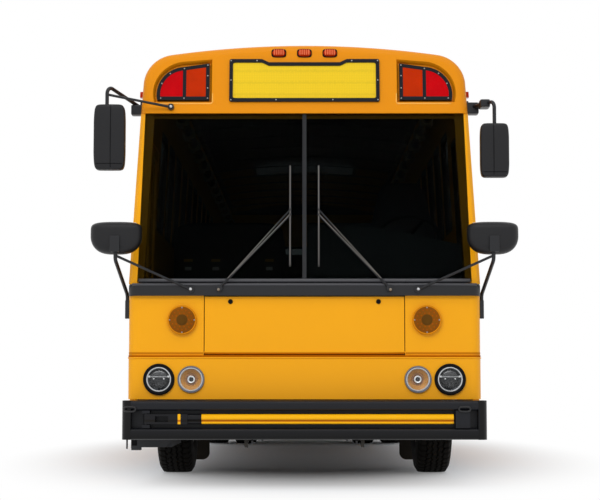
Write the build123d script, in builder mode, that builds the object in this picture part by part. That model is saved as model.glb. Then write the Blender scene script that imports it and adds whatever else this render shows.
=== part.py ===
from build123d import *
import math
import os

# A flat-fronted, rear-engined school bus. Its front faces -Y, its entrance door is on -X, the
# driver sits on +X, and the origin is on the ground under the middle of the bus.
# Left and right are the driver's: left is +X.

# Body section
half_width = 1220  # outside, below the belt line
belt_height = 1400  # the sides lean in from here up
side_lean = 3.1  # degrees
roof_top = 3118
crown_radius = 6600
eave_radius = 230
wall = 45
skirt_bottom = 480
roof_edge = 2800  # where the roof skin meets the side walls

# Stations along the bus
front_face = -5370
rear_face = 5450
rear_thickness = 90
wall_front = -5200
front_axle_y = -3400
wheelbase = 5990
rear_axle_y = front_axle_y + wheelbase
rear_inside = rear_face - rear_thickness

# Floor and entrance steps
floor_top = 1100
floor_thickness = 50
first_step = 300
step_count = 3
step_sheet = 30
stepwell_front = -5110
stepwell_rear = -4190
stepwell_depth = 610  # inwards from the wall's inner face
platform_front = 3960  # raised floor over the engine
platform_top = 1420
platform_sheet = 40

# Front end
panel_bottom = 609
crease_height = 912
crease_step = 18  # upper panels stand this far behind the lamp panel
panel_top = 1322
corner_radius = 75
front_sheet = 45
access_half_width = 690
access_thickness = 30
panel_gap = 6
cowl_top = 1405
cowl_proud = 15
cowl_depth = 110
glass_bottom = 1425
glass_setback = 40  # windshield's lower edge behind the lamp panel
glass_rake = 4.5  # degrees
glass_thickness = 7
glass_half_bottom = 1159
glass_half_top = 1121
sight_half_bottom = 1118
sight_half_top = 1057
pillar_flange = 40
glass_clearance = 1
centre_post = 28

# Front cap
cap_bottom = 2614
cap_lip_y = -5272
cap_lean = 8  # degrees, its face leans back
cap_rear = -4900
cap_front_wall = 110
cap_rounding = 60
pocket_depth = 42
pocket_draft = 18  # degrees
lamp_inner_x = 672
lamp_outer_x = 1040
lamp_low = 2713
lamp_frame = 25
warning_arcs = {
    # inner x, outer x, low edge, inner upper corner, start and middle of the outer arc
    "frame": (672, 1040, 2713, 2981, (850, 2955), (1003, 2876)),
    "pocket": (652, 1060, 2693, 3008, (866, 2990), (1026, 2894)),
}
lamp_divider_x = 848
sign_half = 530
sign_low = 2694
sign_high = 3005
sign_notch = 24
sign_notch_half = 300
sign_border = 25
sign_corner = 14
sign_thickness = 16
marker_pitch = 181
marker_height = 3052
marker_width = 96
marker_tall = 54

# Windows
window_low = 1900
window_high = 2690
window_pitch = 711
window_width = 622
window_count = 13
window_first = -4120
window_corner = 60
frame_width = 30
frame_depth = 40
frame_proud = 3
pane = 5
pane_recess = 18
sash_rail = 36
sash_height = 2380
driver_window = (-5060, -4270)
driver_window_low = 1620
driver_window_high = 2540

# Doors
door_thickness = 40
door_gap = 8
door_border = 62
pin_radius = 6
pin_reach = 28
entrance_front = -5080
entrance_rear = -4220
entrance_low = 290
entrance_high = 2480
emergency_bay = 6
emergency_low = 1010
emergency_high = 2740
engine_door_half = 820
engine_door_low = 720
engine_door_high = 1560
rear_bottom = 640
hatch_size = 640
hatch_opening = 560
hatch_curb = 16
hatch_height = 48
hatch_seat = 0.3
hatch_stations = (-1900, 2300)

# Chassis
rail_x = 432
rail_flange = 80
rail_sheet = 10
rail_bottom = 760
rail_top = 990
rail_front = -5300
rail_rear = 5350
bearer_width = 60

# Wheels and axles
tyre_radius = 527
tyre_width = 280
tread_half = 110
sidewall_radius = 432
bead_half = 92
bead_radius = 292
rim_half = 105
rim_flange = 16
wheel_sheet = 12
front_wheel_x = 1021
dual_outer_x = 1018
dual_inner_x = 688
spindle_radius = 42
running_gap = 0.4
kingpin_x = 880
kingpin_radius = 20
eye_radius = 34
eye_low = 473
eye_high = 572
steer_arm = 160
tie_rod_z = 348
tie_rod_radius = 16
spring_x = 392
spring_width = 75
leaf = 20
axle_low = 285
axle_high = 395
tube_radius = 75

# Bumpers and gate
bumper_face = -5600
bumper_back = -5385
bumper_low = 340
bumper_high = 603
bumper_half = 1232
end_cap = 62
gate_pivot_x = -1068
gate_tip_x = 1005
rail_join_low = 418  # recess between the bumper's two rails
rail_join_high = 536
rail_rounding = 28
end_rounding = 55
gate_low = 445
gate_height = 67
gate_depth = 52
bumper_sheet = 10
recess_depth = 82
bumper_web_back = bumper_face + recess_depth + bumper_sheet
rear_bumper_face = 5600
rear_bumper_low = 470
rear_bumper_high = 700
rear_web_front = rear_bumper_face - bumper_sheet


def cross_plane(y):
    # Upright plane across the bus, seen from the front
    return Plane.XZ.offset(-y)


def block(x, y, z, mode=Mode.ADD):
    # Box between two x, two y and two z values
    with Locations(((x[0] + x[1]) / 2, (y[0] + y[1]) / 2, (z[0] + z[1]) / 2)):
        Box(abs(x[1] - x[0]), abs(y[1] - y[0]), abs(z[1] - z[0]), mode=mode)


def rod(start, end, radius, mode=Mode.ADD):
    # Round bar from one point to another
    run = Vector(*end) - Vector(*start)
    with Locations(Plane(origin=start, z_dir=run)):
        Cylinder(radius, run.length, align=(Align.CENTER, Align.CENTER, Align.MIN), mode=mode)


def bent_tube(points, bend, radius):
    # Tube along straight runs joined by tangent arcs
    with BuildPart(mode=Mode.PRIVATE) as tube:
        with BuildLine() as route:
            FilletPolyline(*points, radius=bend)
        with BuildSketch(Plane(origin=route.line @ 0, z_dir=route.line % 0)):
            Circle(radius)
        sweep()
    return tube.part


# Cross-section of the body: upright sides, leaning sides, eave arcs and a crowned roof
lean = math.radians(side_lean)
lean_offset = half_width * math.cos(lean) + belt_height * math.sin(lean)
crown_centre = roof_top - crown_radius
eave_line = lean_offset - eave_radius
eave_rise = crown_centre * math.cos(lean) + math.sqrt(
    (crown_radius - eave_radius) ** 2 - (eave_line - crown_centre * math.sin(lean)) ** 2
)
eave_x = eave_line * math.cos(lean) - eave_rise * math.sin(lean)
eave_z = eave_line * math.sin(lean) + eave_rise * math.cos(lean)
crown_angle = math.atan2(eave_z - crown_centre, eave_x)


def side_at(height, inset=0):
    # Half-width of the body at a height, moved in by inset
    leaning = (lean_offset - inset - math.sin(lean) * height) / math.cos(lean)
    return min(half_width - inset, leaning)


def kink_at(inset):
    # Height where the side moved in by inset starts to lean
    return (lean_offset - inset - (half_width - inset) * math.cos(lean)) / math.sin(lean)


def arc_point(centre, radius, angle):
    return (centre[0] + radius * math.cos(angle), centre[1] + radius * math.sin(angle))


def body_outline(inset, bottom):
    # Closed cross-section above a height, moved in by inset
    eave = (eave_x, eave_z)
    crown = (0, crown_centre)
    side_end = arc_point(eave, eave_radius - inset, lean)
    eave_middle = arc_point(eave, eave_radius - inset, (lean + crown_angle) / 2)
    crown_start = arc_point(crown, crown_radius - inset, crown_angle)
    crown_middle = arc_point(crown, crown_radius - inset, (crown_angle + math.pi / 2) / 2)
    corners = [(0, bottom), (side_at(bottom, inset), bottom)]
    if bottom < kink_at(inset):
        corners.append((half_width - inset, kink_at(inset)))
    with BuildSketch(mode=Mode.PRIVATE) as section:
        with BuildLine():
            Polyline(*corners, side_end)
            ThreePointArc(side_end, eave_middle, crown_start)
            ThreePointArc(crown_start, crown_middle, (0, roof_top - inset))
            mirror(about=Plane.YZ)
        make_face()
    return section.sketch


def glazing_plane(side):
    # Plane of the leaning side, seen from outside, with its origin at mid-window height
    middle = (window_low + window_high) / 2
    return Plane(
        origin=(side * side_at(middle), 0, middle),
        x_dir=(0, side, 0),
        z_dir=(side * math.cos(lean), 0, math.sin(lean)),
    )


def door_plane(side, low, high):
    # Flat plane that meets the side at the door's lower and upper edges, origin at the lower edge
    tilt = math.atan2(side_at(low) - side_at(high), high - low)
    return Plane(
        origin=(side * side_at(low), 0, low),
        x_dir=(0, side, 0),
        z_dir=(side * math.cos(tilt), 0, math.sin(tilt)),
    )


def hinge_plan(door):
    # Plane across a door's hinge line: its x runs along the door's width, its y goes inwards
    return Plane(origin=door.origin, x_dir=door.x_dir, z_dir=door.y_dir)


def hinge_pin(plan, axis_x, tall, thickness, gap):
    # Pin along a hinge line, standing out at both ends; a gap makes it the bore for that pin
    with BuildPart(mode=Mode.PRIVATE) as pin:
        with BuildSketch(plan.offset(-pin_reach - gap)):
            with Locations((axis_x, thickness / 2)):
                Circle(pin_radius + gap)
        extrude(amount=tall + 2 * (pin_reach + gap))
    return pin.part


def hinged_leaf(plan, axis_x, far_x, tall, thickness):
    # Door leaf with its hinge edge rounded about the pin
    with BuildPart(mode=Mode.PRIVATE) as leaf_body:
        with BuildSketch(plan):
            with Locations(((axis_x + far_x) / 2, thickness / 2)):
                Rectangle(abs(far_x - axis_x), thickness)
            with Locations((axis_x, thickness / 2)):
                Circle(thickness / 2)
        extrude(amount=tall)
        add(hinge_pin(plan, axis_x, tall, thickness, 0))
    return leaf_body.part


# Window places on the sides: middle station, middle height, width, height
window_middle = (window_low + window_high) / 2
window_tall = (window_high - window_low) / math.cos(lean)
bay_stations = [window_first + window_pitch * (bay + 0.5) for bay in range(window_count)]
emergency_station = bay_stations[emergency_bay]
emergency_width = window_pitch - 60
driver_bay = (
    (driver_window[0] + driver_window[1]) / 2,
    ((driver_window_low + driver_window_high) / 2 - window_middle) / math.cos(lean),
    driver_window[1] - driver_window[0],
    (driver_window_high - driver_window_low) / math.cos(lean),
)
emergency_start = emergency_station - emergency_width / 2
emergency_end = emergency_station + emergency_width / 2
emergency_tall = emergency_high - emergency_low
emergency_plane = door_plane(1, emergency_low, emergency_high)
emergency_plan = hinge_plan(emergency_plane)
emergency_axis = emergency_start + door_thickness / 2

# Two entrance leaves, given along the door's own x, which runs to the front
entrance_plane = door_plane(-1, entrance_low, entrance_high)
entrance_plan = hinge_plan(entrance_plane)
leaf_width = (entrance_rear - entrance_front - door_gap) / 2
leaf_tall = (entrance_high - entrance_low) / math.cos(
    math.atan2(side_at(entrance_low) - side_at(entrance_high), entrance_high - entrance_low)
)
leaf_table = {
    # hinge line, far edge
    "front": (-entrance_front - door_thickness / 2, -entrance_front - leaf_width),
    "rear": (-entrance_rear + door_thickness / 2, -entrance_rear + leaf_width),
}
side_windows = {1: [driver_bay], -1: []}
for bay, station in enumerate(bay_stations):
    side_windows[-1].append((station, 0, window_width, window_tall))
    if bay != emergency_bay:
        side_windows[1].append((station, 0, window_width, window_tall))


def window_sketch(side, inset):
    # All window outlines of one side, moved in by inset
    with BuildSketch(mode=Mode.PRIVATE) as outlines:
        for station, rise, width, height in side_windows[side]:
            with Locations((side * station, rise)):
                RectangleRounded(width - 2 * inset, height - 2 * inset, window_corner - inset)
    return outlines.sketch


def side_wall(side):
    # One side of the body, cut for the windows, the wheels and its door
    inside = [(side_at(z, wall), z) for z in (roof_edge, kink_at(wall), skirt_bottom)]
    outside = [(side_at(z), z) for z in (skirt_bottom, belt_height, roof_edge)]
    with BuildPart() as panel:
        with BuildSketch(cross_plane(rear_inside)):
            Polygon(*[(side * x, z) for x, z in outside + inside], align=None)
        extrude(amount=rear_inside - wall_front)
        beside_cap = (side * (half_width - 200), side * (half_width + 10))
        block(beside_cap, (wall_front, cap_rear), (cap_bottom, roof_edge), Mode.SUBTRACT)
        with BuildSketch(glazing_plane(side)):
            add(window_sketch(side, 0))
        extrude(amount=2 * wall, both=True, mode=Mode.SUBTRACT)
        for station, arch in ((front_axle_y, 640), (rear_axle_y, 610)):
            with BuildSketch(Plane.YZ.offset(side * half_width)):
                with Locations((station, tyre_radius - 20)):
                    SlotOverall(2 * arch, 2 * arch - 2)
                with Locations((station, skirt_bottom / 2)):
                    Rectangle(2 * arch, skirt_bottom + 60)
            extrude(amount=2 * wall, both=True, mode=Mode.SUBTRACT)
        if side < 0:
            opening, tall, start, end = entrance_plane, leaf_tall, entrance_front, entrance_rear
            pins = [(entrance_plan, hinge) for hinge, far in leaf_table.values()]
        else:
            opening, tall, start, end = emergency_plane, emergency_tall, emergency_start, emergency_end
            pins = [(emergency_plan, emergency_axis)]
        with BuildSketch(opening):
            with Locations((side * (start + end) / 2, tall / 2)):
                Rectangle(end - start + 2 * door_gap, tall + 2 * door_gap)
        extrude(amount=3 * wall, both=True, mode=Mode.SUBTRACT)
        for plan, hinge in pins:
            add(hinge_pin(plan, hinge, tall, door_thickness, running_gap), mode=Mode.SUBTRACT)
    return panel.part


wall_left = side_wall(1)
wall_right = side_wall(-1)

# Roof skin with two raised hatch curbs
with BuildPart() as roof:
    with BuildSketch(cross_plane(rear_inside)):
        add(body_outline(0, roof_edge))
        add(body_outline(wall, roof_edge), mode=Mode.SUBTRACT)
    extrude(amount=rear_inside - cap_rear)
    for station in hatch_stations:
        with BuildSketch(Plane.XY.offset(roof_top - wall)):
            with Locations((0, station)):
                RectangleRounded(hatch_size - 30, hatch_size - 30, 40)
        extrude(amount=wall + hatch_curb)
        with BuildSketch(Plane.XY.offset(roof_top - 2 * wall)):
            with Locations((0, station)):
                RectangleRounded(hatch_opening, hatch_opening, 30)
        extrude(amount=3 * wall, mode=Mode.SUBTRACT)


def roof_hatch(station):
    # Moulded lid with a raised middle, standing on the curb
    seat = roof_top + hatch_curb + hatch_seat
    with BuildPart() as lid:
        with BuildSketch(Plane.XY.offset(seat)):
            with Locations((0, station)):
                RectangleRounded(hatch_size, hatch_size, 50)
        extrude(amount=hatch_height - 18)
        with BuildSketch(Plane.XY.offset(seat + hatch_height - 18)):
            with Locations((0, station)):
                RectangleRounded(hatch_size - 110, hatch_size - 110, 40)
        extrude(amount=18, taper=30)
    return lid.part


roof_hatch_front = roof_hatch(hatch_stations[0])
roof_hatch_rear = roof_hatch(hatch_stations[1])

# Moulded front cap: the body section with a leaning face, rounded front edge and lamp pockets
cap_tilt = math.radians(cap_lean)
cap_plane = Plane(
    origin=(0, cap_lip_y, cap_bottom),
    x_dir=(1, 0, 0),
    z_dir=(0, -math.cos(cap_tilt), math.sin(cap_tilt)),
)


def cap_rise(height):
    # Distance up the cap's face for a height
    return (height - cap_bottom) / math.cos(cap_tilt)


def warning_outline(name, margin=0):
    # Warning lamp pair on the left: upright inner edge, sloping top and an arc outside, moved in by margin
    inner, outer, low, high, start, middle = warning_arcs[name]
    with BuildSketch(mode=Mode.PRIVATE) as outline:
        with BuildLine():
            Polyline(
                (start[0], cap_rise(start[1])),
                (inner, cap_rise(high)),
                (inner, cap_rise(low)),
                (outer, cap_rise(low)),
            )
            ThreePointArc(
                (outer, cap_rise(low)), (middle[0], cap_rise(middle[1])), (start[0], cap_rise(start[1]))
            )
        make_face()
        if margin:
            offset(amount=-margin, mode=Mode.REPLACE)
    return outline.sketch


def sign_outline(margin):
    # Sign board with a lower middle stretch along its upper edge, moved in by margin
    low = cap_rise(sign_low) + margin
    high = cap_rise(sign_high) - margin
    step = high - sign_notch
    with BuildSketch(mode=Mode.PRIVATE) as outline:
        with BuildLine():
            Polyline(
                (0, low),
                (sign_half - margin, low),
                (sign_half - margin, high),
                (sign_notch_half, high),
                (sign_notch_half - 2 * sign_notch, step),
                (0, step),
            )
            mirror(about=Plane.YZ)
        make_face()
        fillet(outline.vertices(), sign_corner)
    return outline.sketch


with BuildPart() as front_cap:
    with BuildSketch(cross_plane(cap_rear)):
        add(body_outline(0, cap_bottom))
    extrude(amount=cap_rear - cap_lip_y)
    split(bisect_by=cap_plane, keep=Keep.BOTTOM)
    cap_face = front_cap.faces().filter_by(lambda face: abs(face.normal_at().Y) > 0.9).sort_by(Axis.Y)[0]
    rounded = [edge for edge in cap_face.edges() if edge.center().Z > cap_bottom + 5]
    fillet(rounded, cap_rounding)
    with BuildSketch(cross_plane(cap_rear)):
        add(body_outline(wall, cap_bottom))
    extrude(amount=cap_rear - cap_lip_y - cap_front_wall, mode=Mode.SUBTRACT)
    with BuildSketch(cap_plane):
        add(warning_outline("pocket"))
        mirror(about=Plane.YZ)
    extrude(amount=-pocket_depth, taper=pocket_draft, mode=Mode.SUBTRACT)

# Lower front panel that carries the headlamps, wrapped round both corners
front_wrap_y = wall_front


def wrap_outline(front, depth, inset):
    # Plan of a panel wrapped round the front corners, moved in by inset
    reach = half_width - inset
    with BuildSketch(mode=Mode.PRIVATE) as plan:
        with Locations((0, (front + inset + front_wrap_y) / 2)):
            Rectangle(2 * reach, front_wrap_y - front - inset)
        corners = plan.vertices().group_by(Axis.Y)[0]
        fillet(corners, depth - inset)
    return plan.sketch


lamp_table = (
    # x, z, outer radius, hole radius
    (1002, 745, 108, 82),
    (781, 745, 92, 74),
)
turn_x = 845
turn_z = 1154
turn_radius = 100

with BuildPart() as lamp_panel:
    with BuildSketch(Plane.XY.offset(panel_bottom)):
        add(wrap_outline(front_face, corner_radius, 0))
        add(wrap_outline(front_face, corner_radius, front_sheet), mode=Mode.SUBTRACT)
    extrude(amount=crease_height - panel_bottom)
    crease = lamp_panel.edges().filter_by(Axis.X).sort_by(Axis.Z)[-2:].sort_by(Axis.Y)[0]
    chamfer(crease, crease_step - 4)
    for x, z, outer, hole in lamp_table:
        with BuildSketch(cross_plane(front_face)):
            with Locations((x, z), (-x, z)):
                Circle(hole)
        extrude(amount=-2 * front_sheet, mode=Mode.SUBTRACT)

upper_face = front_face + crease_step


def glass_y(height):
    # Station of the windshield's outer face at a height
    return front_face + glass_setback + math.tan(math.radians(glass_rake)) * (height - glass_bottom)


def between(height, at_bottom, at_top):
    # Half-width that changes evenly from the windshield's lower to its upper edge
    share = (height - glass_bottom) / (cap_bottom - glass_bottom)
    return at_bottom + share * (at_top - at_bottom)


# Corner panels beside the access panel, and the leaning windshield pillars above the cowl
access_tall = panel_top - crease_height - 2 * panel_gap
access_plan = Plane(
    origin=(access_half_width, upper_face, crease_height + panel_gap), x_dir=(0, 0, 1), z_dir=(-1, 0, 0)
)
with BuildPart() as front_shell:
    with BuildSketch(Plane.XY.offset(crease_height)):
        add(wrap_outline(upper_face, corner_radius, 0))
        add(wrap_outline(upper_face, corner_radius, front_sheet), mode=Mode.SUBTRACT)
        with Locations((0, upper_face)):
            Rectangle(2 * (access_half_width + panel_gap), 4 * front_sheet, mode=Mode.SUBTRACT)
    extrude(amount=panel_top - crease_height)
    add(
        hinge_pin(access_plan, access_thickness / 2, 2 * access_half_width, access_thickness, running_gap),
        mode=Mode.SUBTRACT,
    )
    for side in (1, -1):
        for height in (cowl_top, cap_bottom):
            outer = side_at(height)
            sight = between(height, sight_half_bottom, sight_half_top)
            glass = between(height, glass_half_bottom, glass_half_top) + glass_clearance
            face = glass_y(height)
            behind = face + glass_thickness + glass_clearance
            pillar = [
                (side * sight, behind),
                (side * glass, behind),
                (side * glass, face - 14),
                (side * (outer - 22), face - 14),
                (side * outer, face + 8),
                (side * outer, wall_front),
                (side * (outer - wall), wall_front),
                (side * sight, behind + pillar_flange),
            ]
            with BuildSketch(Plane.XY.offset(height)):
                Polygon(*pillar, align=None)
        loft(ruled=True)

# Hinged panel between the corner panels
with BuildPart() as front_access_panel:
    add(hinged_leaf(access_plan, access_thickness / 2, access_tall, 2 * access_half_width, access_thickness))
    with BuildSketch(cross_plane(upper_face)):
        with Locations((512, 1282), (-512, 1282)):
            Circle(15.5)
    extrude(amount=5)

# Cowl band under the windshield, with the gasket strip and the centre post
with BuildPart() as cowl:
    with BuildSketch(Plane.XY.offset(panel_top)):
        add(wrap_outline(front_face - cowl_proud, corner_radius, 0))
        with Locations((0, 0)):
            Rectangle(
                2 * half_width,
                -2 * (front_face - cowl_proud + cowl_depth),
                mode=Mode.SUBTRACT,
            )
    extrude(amount=cowl_top - panel_top)
    upper_lip = cowl.edges().group_by(Axis.Z)[-1].group_by(Axis.Y)[0]
    fillet(upper_lip, 14)
    block(
        (-sight_half_bottom, sight_half_bottom),
        (glass_y(cowl_top) - 6, glass_y(cowl_top) + 40),
        (cowl_top, glass_bottom - glass_clearance),
    )
    for height in (glass_bottom - glass_clearance, cap_bottom):
        with BuildSketch(Plane.XY.offset(height)):
            with Locations((0, glass_y(height) + 12)):
                Rectangle(centre_post, 40)
    loft(ruled=True)

# Two windshield panes
glass_tilt = math.radians(glass_rake)
glass_plane = Plane(
    origin=(0, glass_y(glass_bottom), glass_bottom),
    x_dir=(1, 0, 0),
    z_dir=(0, -math.cos(glass_tilt), math.sin(glass_tilt)),
)
glass_rise = (cap_bottom - glass_bottom) / math.cos(glass_tilt)
with BuildPart() as windshield:
    with BuildSketch(glass_plane):
        with BuildLine():
            Polyline(
                (centre_post / 2, 0),
                (glass_half_bottom, 0),
                (glass_half_top, glass_rise),
                (centre_post / 2, glass_rise),
                close=True,
            )
        make_face()
        mirror(about=Plane.YZ)
    extrude(amount=-glass_thickness)

# Rear wall with the engine opening and the push-out window
engine_door_tall = engine_door_high - engine_door_low
engine_door_plan = Plane(
    origin=(engine_door_half, rear_face, engine_door_high), x_dir=(0, 0, -1), z_dir=(-1, 0, 0)
)
rear_window_half = 600
rear_window_low = 1900
rear_window_high = 2560
with BuildPart() as rear_wall:
    with BuildSketch(cross_plane(rear_face)):
        add(body_outline(0, rear_bottom))
    extrude(amount=rear_thickness)
    rim = rear_wall.faces().sort_by(Axis.Y)[-1].edges()
    fillet([edge for edge in rim if edge.center().Z > rear_bottom + 5], 60)
    with BuildSketch(cross_plane(rear_face)):
        with Locations((0, (rear_window_low + rear_window_high) / 2)):
            RectangleRounded(2 * rear_window_half, rear_window_high - rear_window_low, window_corner)
        with Locations((0, (engine_door_low + engine_door_high) / 2)):
            Rectangle(
                2 * (engine_door_half + door_gap),
                engine_door_high - engine_door_low + 2 * door_gap,
            )
    extrude(amount=2 * rear_thickness, both=True, mode=Mode.SUBTRACT)
    add(
        hinge_pin(engine_door_plan, door_thickness / 2, 2 * engine_door_half, door_thickness, running_gap),
        mode=Mode.SUBTRACT,
    )

# Engine door with a field of louvre slots
louvre_rows = 7
louvre_columns = 3
with BuildPart() as engine_door:
    add(hinged_leaf(engine_door_plan, door_thickness / 2, engine_door_tall, 2 * engine_door_half, door_thickness))
    with BuildSketch(cross_plane(rear_face)):
        with Locations((0, (engine_door_low + engine_door_high) / 2)):
            with GridLocations(470, 62, louvre_columns, louvre_rows):
                SlotOverall(400, 26)
    extrude(amount=2 * door_thickness, both=True, mode=Mode.SUBTRACT)

# Black frames and sash rails of every side and rear window
with BuildPart() as window_frames:
    for side in (1, -1):
        with BuildSketch(glazing_plane(side).offset(-frame_depth)):
            add(window_sketch(side, 0))
            add(window_sketch(side, frame_width), mode=Mode.SUBTRACT)
        extrude(amount=frame_depth + frame_proud)
        with BuildSketch(glazing_plane(side).offset(-pane_recess)):
            for station, rise, width, height in side_windows[side]:
                with Locations((side * station, (sash_height - window_middle) / math.cos(lean))):
                    Rectangle(width - 2 * frame_width, sash_rail)
        extrude(amount=pane_recess)
    with BuildSketch(cross_plane(rear_face - frame_depth)):
        with Locations((0, (rear_window_low + rear_window_high) / 2)):
            tall = rear_window_high - rear_window_low
            RectangleRounded(2 * rear_window_half, tall, window_corner)
            RectangleRounded(
                2 * (rear_window_half - frame_width),
                tall - 2 * frame_width,
                window_corner - frame_width,
                mode=Mode.SUBTRACT,
            )
    extrude(amount=-(frame_depth + frame_proud))

with BuildPart() as window_glass:
    for side in (1, -1):
        with BuildSketch(glazing_plane(side).offset(-pane_recess)):
            add(window_sketch(side, frame_width))
        extrude(amount=-pane)
    with BuildSketch(cross_plane(rear_face - pane_recess)):
        with Locations((0, (rear_window_low + rear_window_high) / 2)):
            RectangleRounded(
                2 * (rear_window_half - frame_width),
                rear_window_high - rear_window_low - 2 * frame_width,
                window_corner - frame_width,
            )
    extrude(amount=pane)

# Entrance door: two leaves that meet in the middle and swing outwards
# Panes of a leaf: middle height, height
leaf_panes = ((0.27 * leaf_tall, 0.40 * leaf_tall), (0.74 * leaf_tall, 0.45 * leaf_tall))


def leaf_pane_sketch(middle_x):
    with BuildSketch(mode=Mode.PRIVATE) as panes:
        for middle, height in leaf_panes:
            with Locations((middle_x, middle)):
                RectangleRounded(leaf_width - 2 * door_border, height, 40)
    return panes.sketch


def entrance_leaf(hinge, far):
    middle_x = (hinge + far) / 2
    with BuildPart() as leaf_frame:
        add(hinged_leaf(entrance_plan, hinge, far, leaf_tall, door_thickness))
        with BuildSketch(entrance_plane):
            add(leaf_pane_sketch(middle_x))
        extrude(amount=-2 * door_thickness, mode=Mode.SUBTRACT)
    with BuildPart() as leaf_glass:
        with BuildSketch(entrance_plane.offset(-pane_recess)):
            add(leaf_pane_sketch(middle_x))
        extrude(amount=-pane)
    return leaf_frame.part, leaf_glass.part


entrance_front_leaf, entrance_front_glass = entrance_leaf(*leaf_table["front"])
entrance_rear_leaf, entrance_rear_glass = entrance_leaf(*leaf_table["rear"])


def emergency_pane():
    # Window of the emergency door
    with BuildSketch(mode=Mode.PRIVATE) as outline:
        with Locations((emergency_station, 0.74 * emergency_tall)):
            RectangleRounded(emergency_width - 2 * door_border, 0.42 * emergency_tall, 50)
    return outline.sketch


# Emergency door in the left side, hinged along its front edge
with BuildPart() as emergency_door:
    add(hinged_leaf(emergency_plan, emergency_axis, emergency_end, emergency_tall, door_thickness))
    with BuildSketch(emergency_plane):
        add(emergency_pane())
    extrude(amount=-2 * door_thickness, mode=Mode.SUBTRACT)
with BuildPart() as emergency_glass:
    with BuildSketch(emergency_plane.offset(-pane_recess)):
        add(emergency_pane())
    extrude(amount=-pane)

# Floor boards between the walls, beside the stepwell and between the wheelhouses
floor_half = half_width - wall
tread_edge = 10  # the first step stops short of the closed door
floor_bottom = floor_top - floor_thickness
floor_front = upper_face + corner_radius
well_inner = -(floor_half - stepwell_depth)
well_end = 20  # plates that close the stepwell
riser = (floor_top - first_step) / step_count
tread = (stepwell_depth - tread_edge) / step_count
pivot_foot = 68  # feet under the door leaves that take their lower pins
pivot_foot_x = (-half_width + 4, -half_width + 70)
pivot_foot_z = (entrance_low - 40, entrance_low - 9)
house_half = 570
house_top = 1230
front_house_x = 770
rear_house_x = 520
front_house = (front_axle_y - house_half, front_axle_y + house_half)
rear_house = (rear_axle_y - house_half, rear_axle_y + house_half)
board_table = (
    # start, end, right edge, left edge
    (floor_front, stepwell_front, -floor_half, floor_half),
    (stepwell_front, stepwell_rear, well_inner + step_sheet, floor_half),
    (stepwell_rear, front_house[0], -floor_half, floor_half),
    (front_house[0], front_house[1], -front_house_x, front_house_x),
    (front_house[1], rear_house[0], -floor_half, floor_half),
    (rear_house[0], rear_house[1], -rear_house_x, rear_house_x),
    (rear_house[1], platform_front - platform_sheet, -floor_half, floor_half),
)
floor_pieces = []
for start, end, right, left in board_table:
    with BuildPart() as board_sheet:
        block((right, left), (start, end), (floor_bottom, floor_top))
    floor_pieces.append(board_sheet.part)

# Stair of treads and risers, and the plates that close the stepwell with a foot for each leaf's pin
with BuildPart() as stair:
    with BuildSketch(cross_plane(stepwell_rear - well_end)):
        for step in range(step_count):
            top = first_step + step * riser
            outer = -floor_half + tread_edge + step * tread
            with Locations((outer + tread / 2, top - step_sheet / 2)):
                Rectangle(tread, step_sheet)
            with Locations((outer + tread + step_sheet / 2, top + riser / 2 - step_sheet / 2)):
                Rectangle(step_sheet, riser + step_sheet)
    extrude(amount=stepwell_rear - stepwell_front - 2 * well_end)
floor_pieces.append(stair.part)
for station, way in ((stepwell_front, 1), (stepwell_rear, -1)):
    with BuildPart() as well_plate:
        with BuildSketch(cross_plane(station)):
            Polygon(
                (-floor_half, first_step - step_sheet),
                (-floor_half + tread, first_step - step_sheet),
                (well_inner, floor_bottom - riser),
                (well_inner, floor_top),
                (-floor_half, floor_top),
                align=None,
            )
        extrude(amount=-way * well_end)
        block(pivot_foot_x, (station, station + way * pivot_foot), pivot_foot_z)
        add(stair.part, mode=Mode.SUBTRACT)
        for hinge, far in leaf_table.values():
            add(hinge_pin(entrance_plan, hinge, leaf_tall, door_thickness, running_gap), mode=Mode.SUBTRACT)
    floor_pieces.append(well_plate.part)

# Wheelhouses, open below and towards the wall
for span, inner in ((front_house, front_house_x), (rear_house, rear_house_x)):
    for side in (1, -1):
        with BuildPart() as wheelhouse:
            block((side * inner, side * floor_half), span, (floor_bottom, house_top))
            block(
                (side * (inner + step_sheet), side * floor_half),
                (span[0] + step_sheet, span[1] - step_sheet),
                (floor_bottom, house_top - step_sheet),
                Mode.SUBTRACT,
            )
        floor_pieces.append(wheelhouse.part)

# Raised platform over the engine, with its front riser
platform_half = side_at(platform_top, wall)
with BuildPart() as platform:
    block(
        (-platform_half, platform_half),
        (platform_front - platform_sheet, rear_inside),
        (platform_top - platform_sheet, platform_top),
    )
    block(
        (-platform_half, platform_half),
        (platform_front - platform_sheet, platform_front),
        (floor_bottom, platform_top),
    )
floor_pieces.append(platform.part)
floor = Compound([solid for piece in floor_pieces for solid in piece.solids()])

# Ladder frame: channel rails, cross tubes, floor bearers, spring hangers, bumper arms and tow eyes
bearer_table = (
    # station, left reach, right reach
    (-5200, 1150, 1150),
    (-4650, 1150, 500),
    (-4100, 1150, 1150),
    (front_axle_y, 740, 740),
    (-2600, 1150, 1150),
    (-1700, 1150, 1150),
    (-800, 1150, 1150),
    (100, 1150, 1150),
    (1000, 1150, 1150),
    (1880, 1150, 1150),
    (rear_axle_y, 490, 490),
    (3300, 1150, 1150),
    (3860, 1150, 1150),
)
cross_tubes = (-5150, -4100, -2500, -1000, 400, 1700, 3600)
front_spring_half = 720
rear_spring_half = 660
front_eye_z = 668
rear_eye_z = 712
spring_eye = 28
hanger_sheet = 12
hanger_table = [(front_axle_y + way * front_spring_half, front_eye_z) for way in (1, -1)]
hanger_table += [(rear_axle_y + way * rear_spring_half, rear_eye_z) for way in (1, -1)]
tow_x = 400
tow_plate = 24
tow_bore = 18
arm_inner = 360
arm_outer = 424
arm_length = 140
arm_front = -5150
arm_rear = 5200
arm_low = 400
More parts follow.
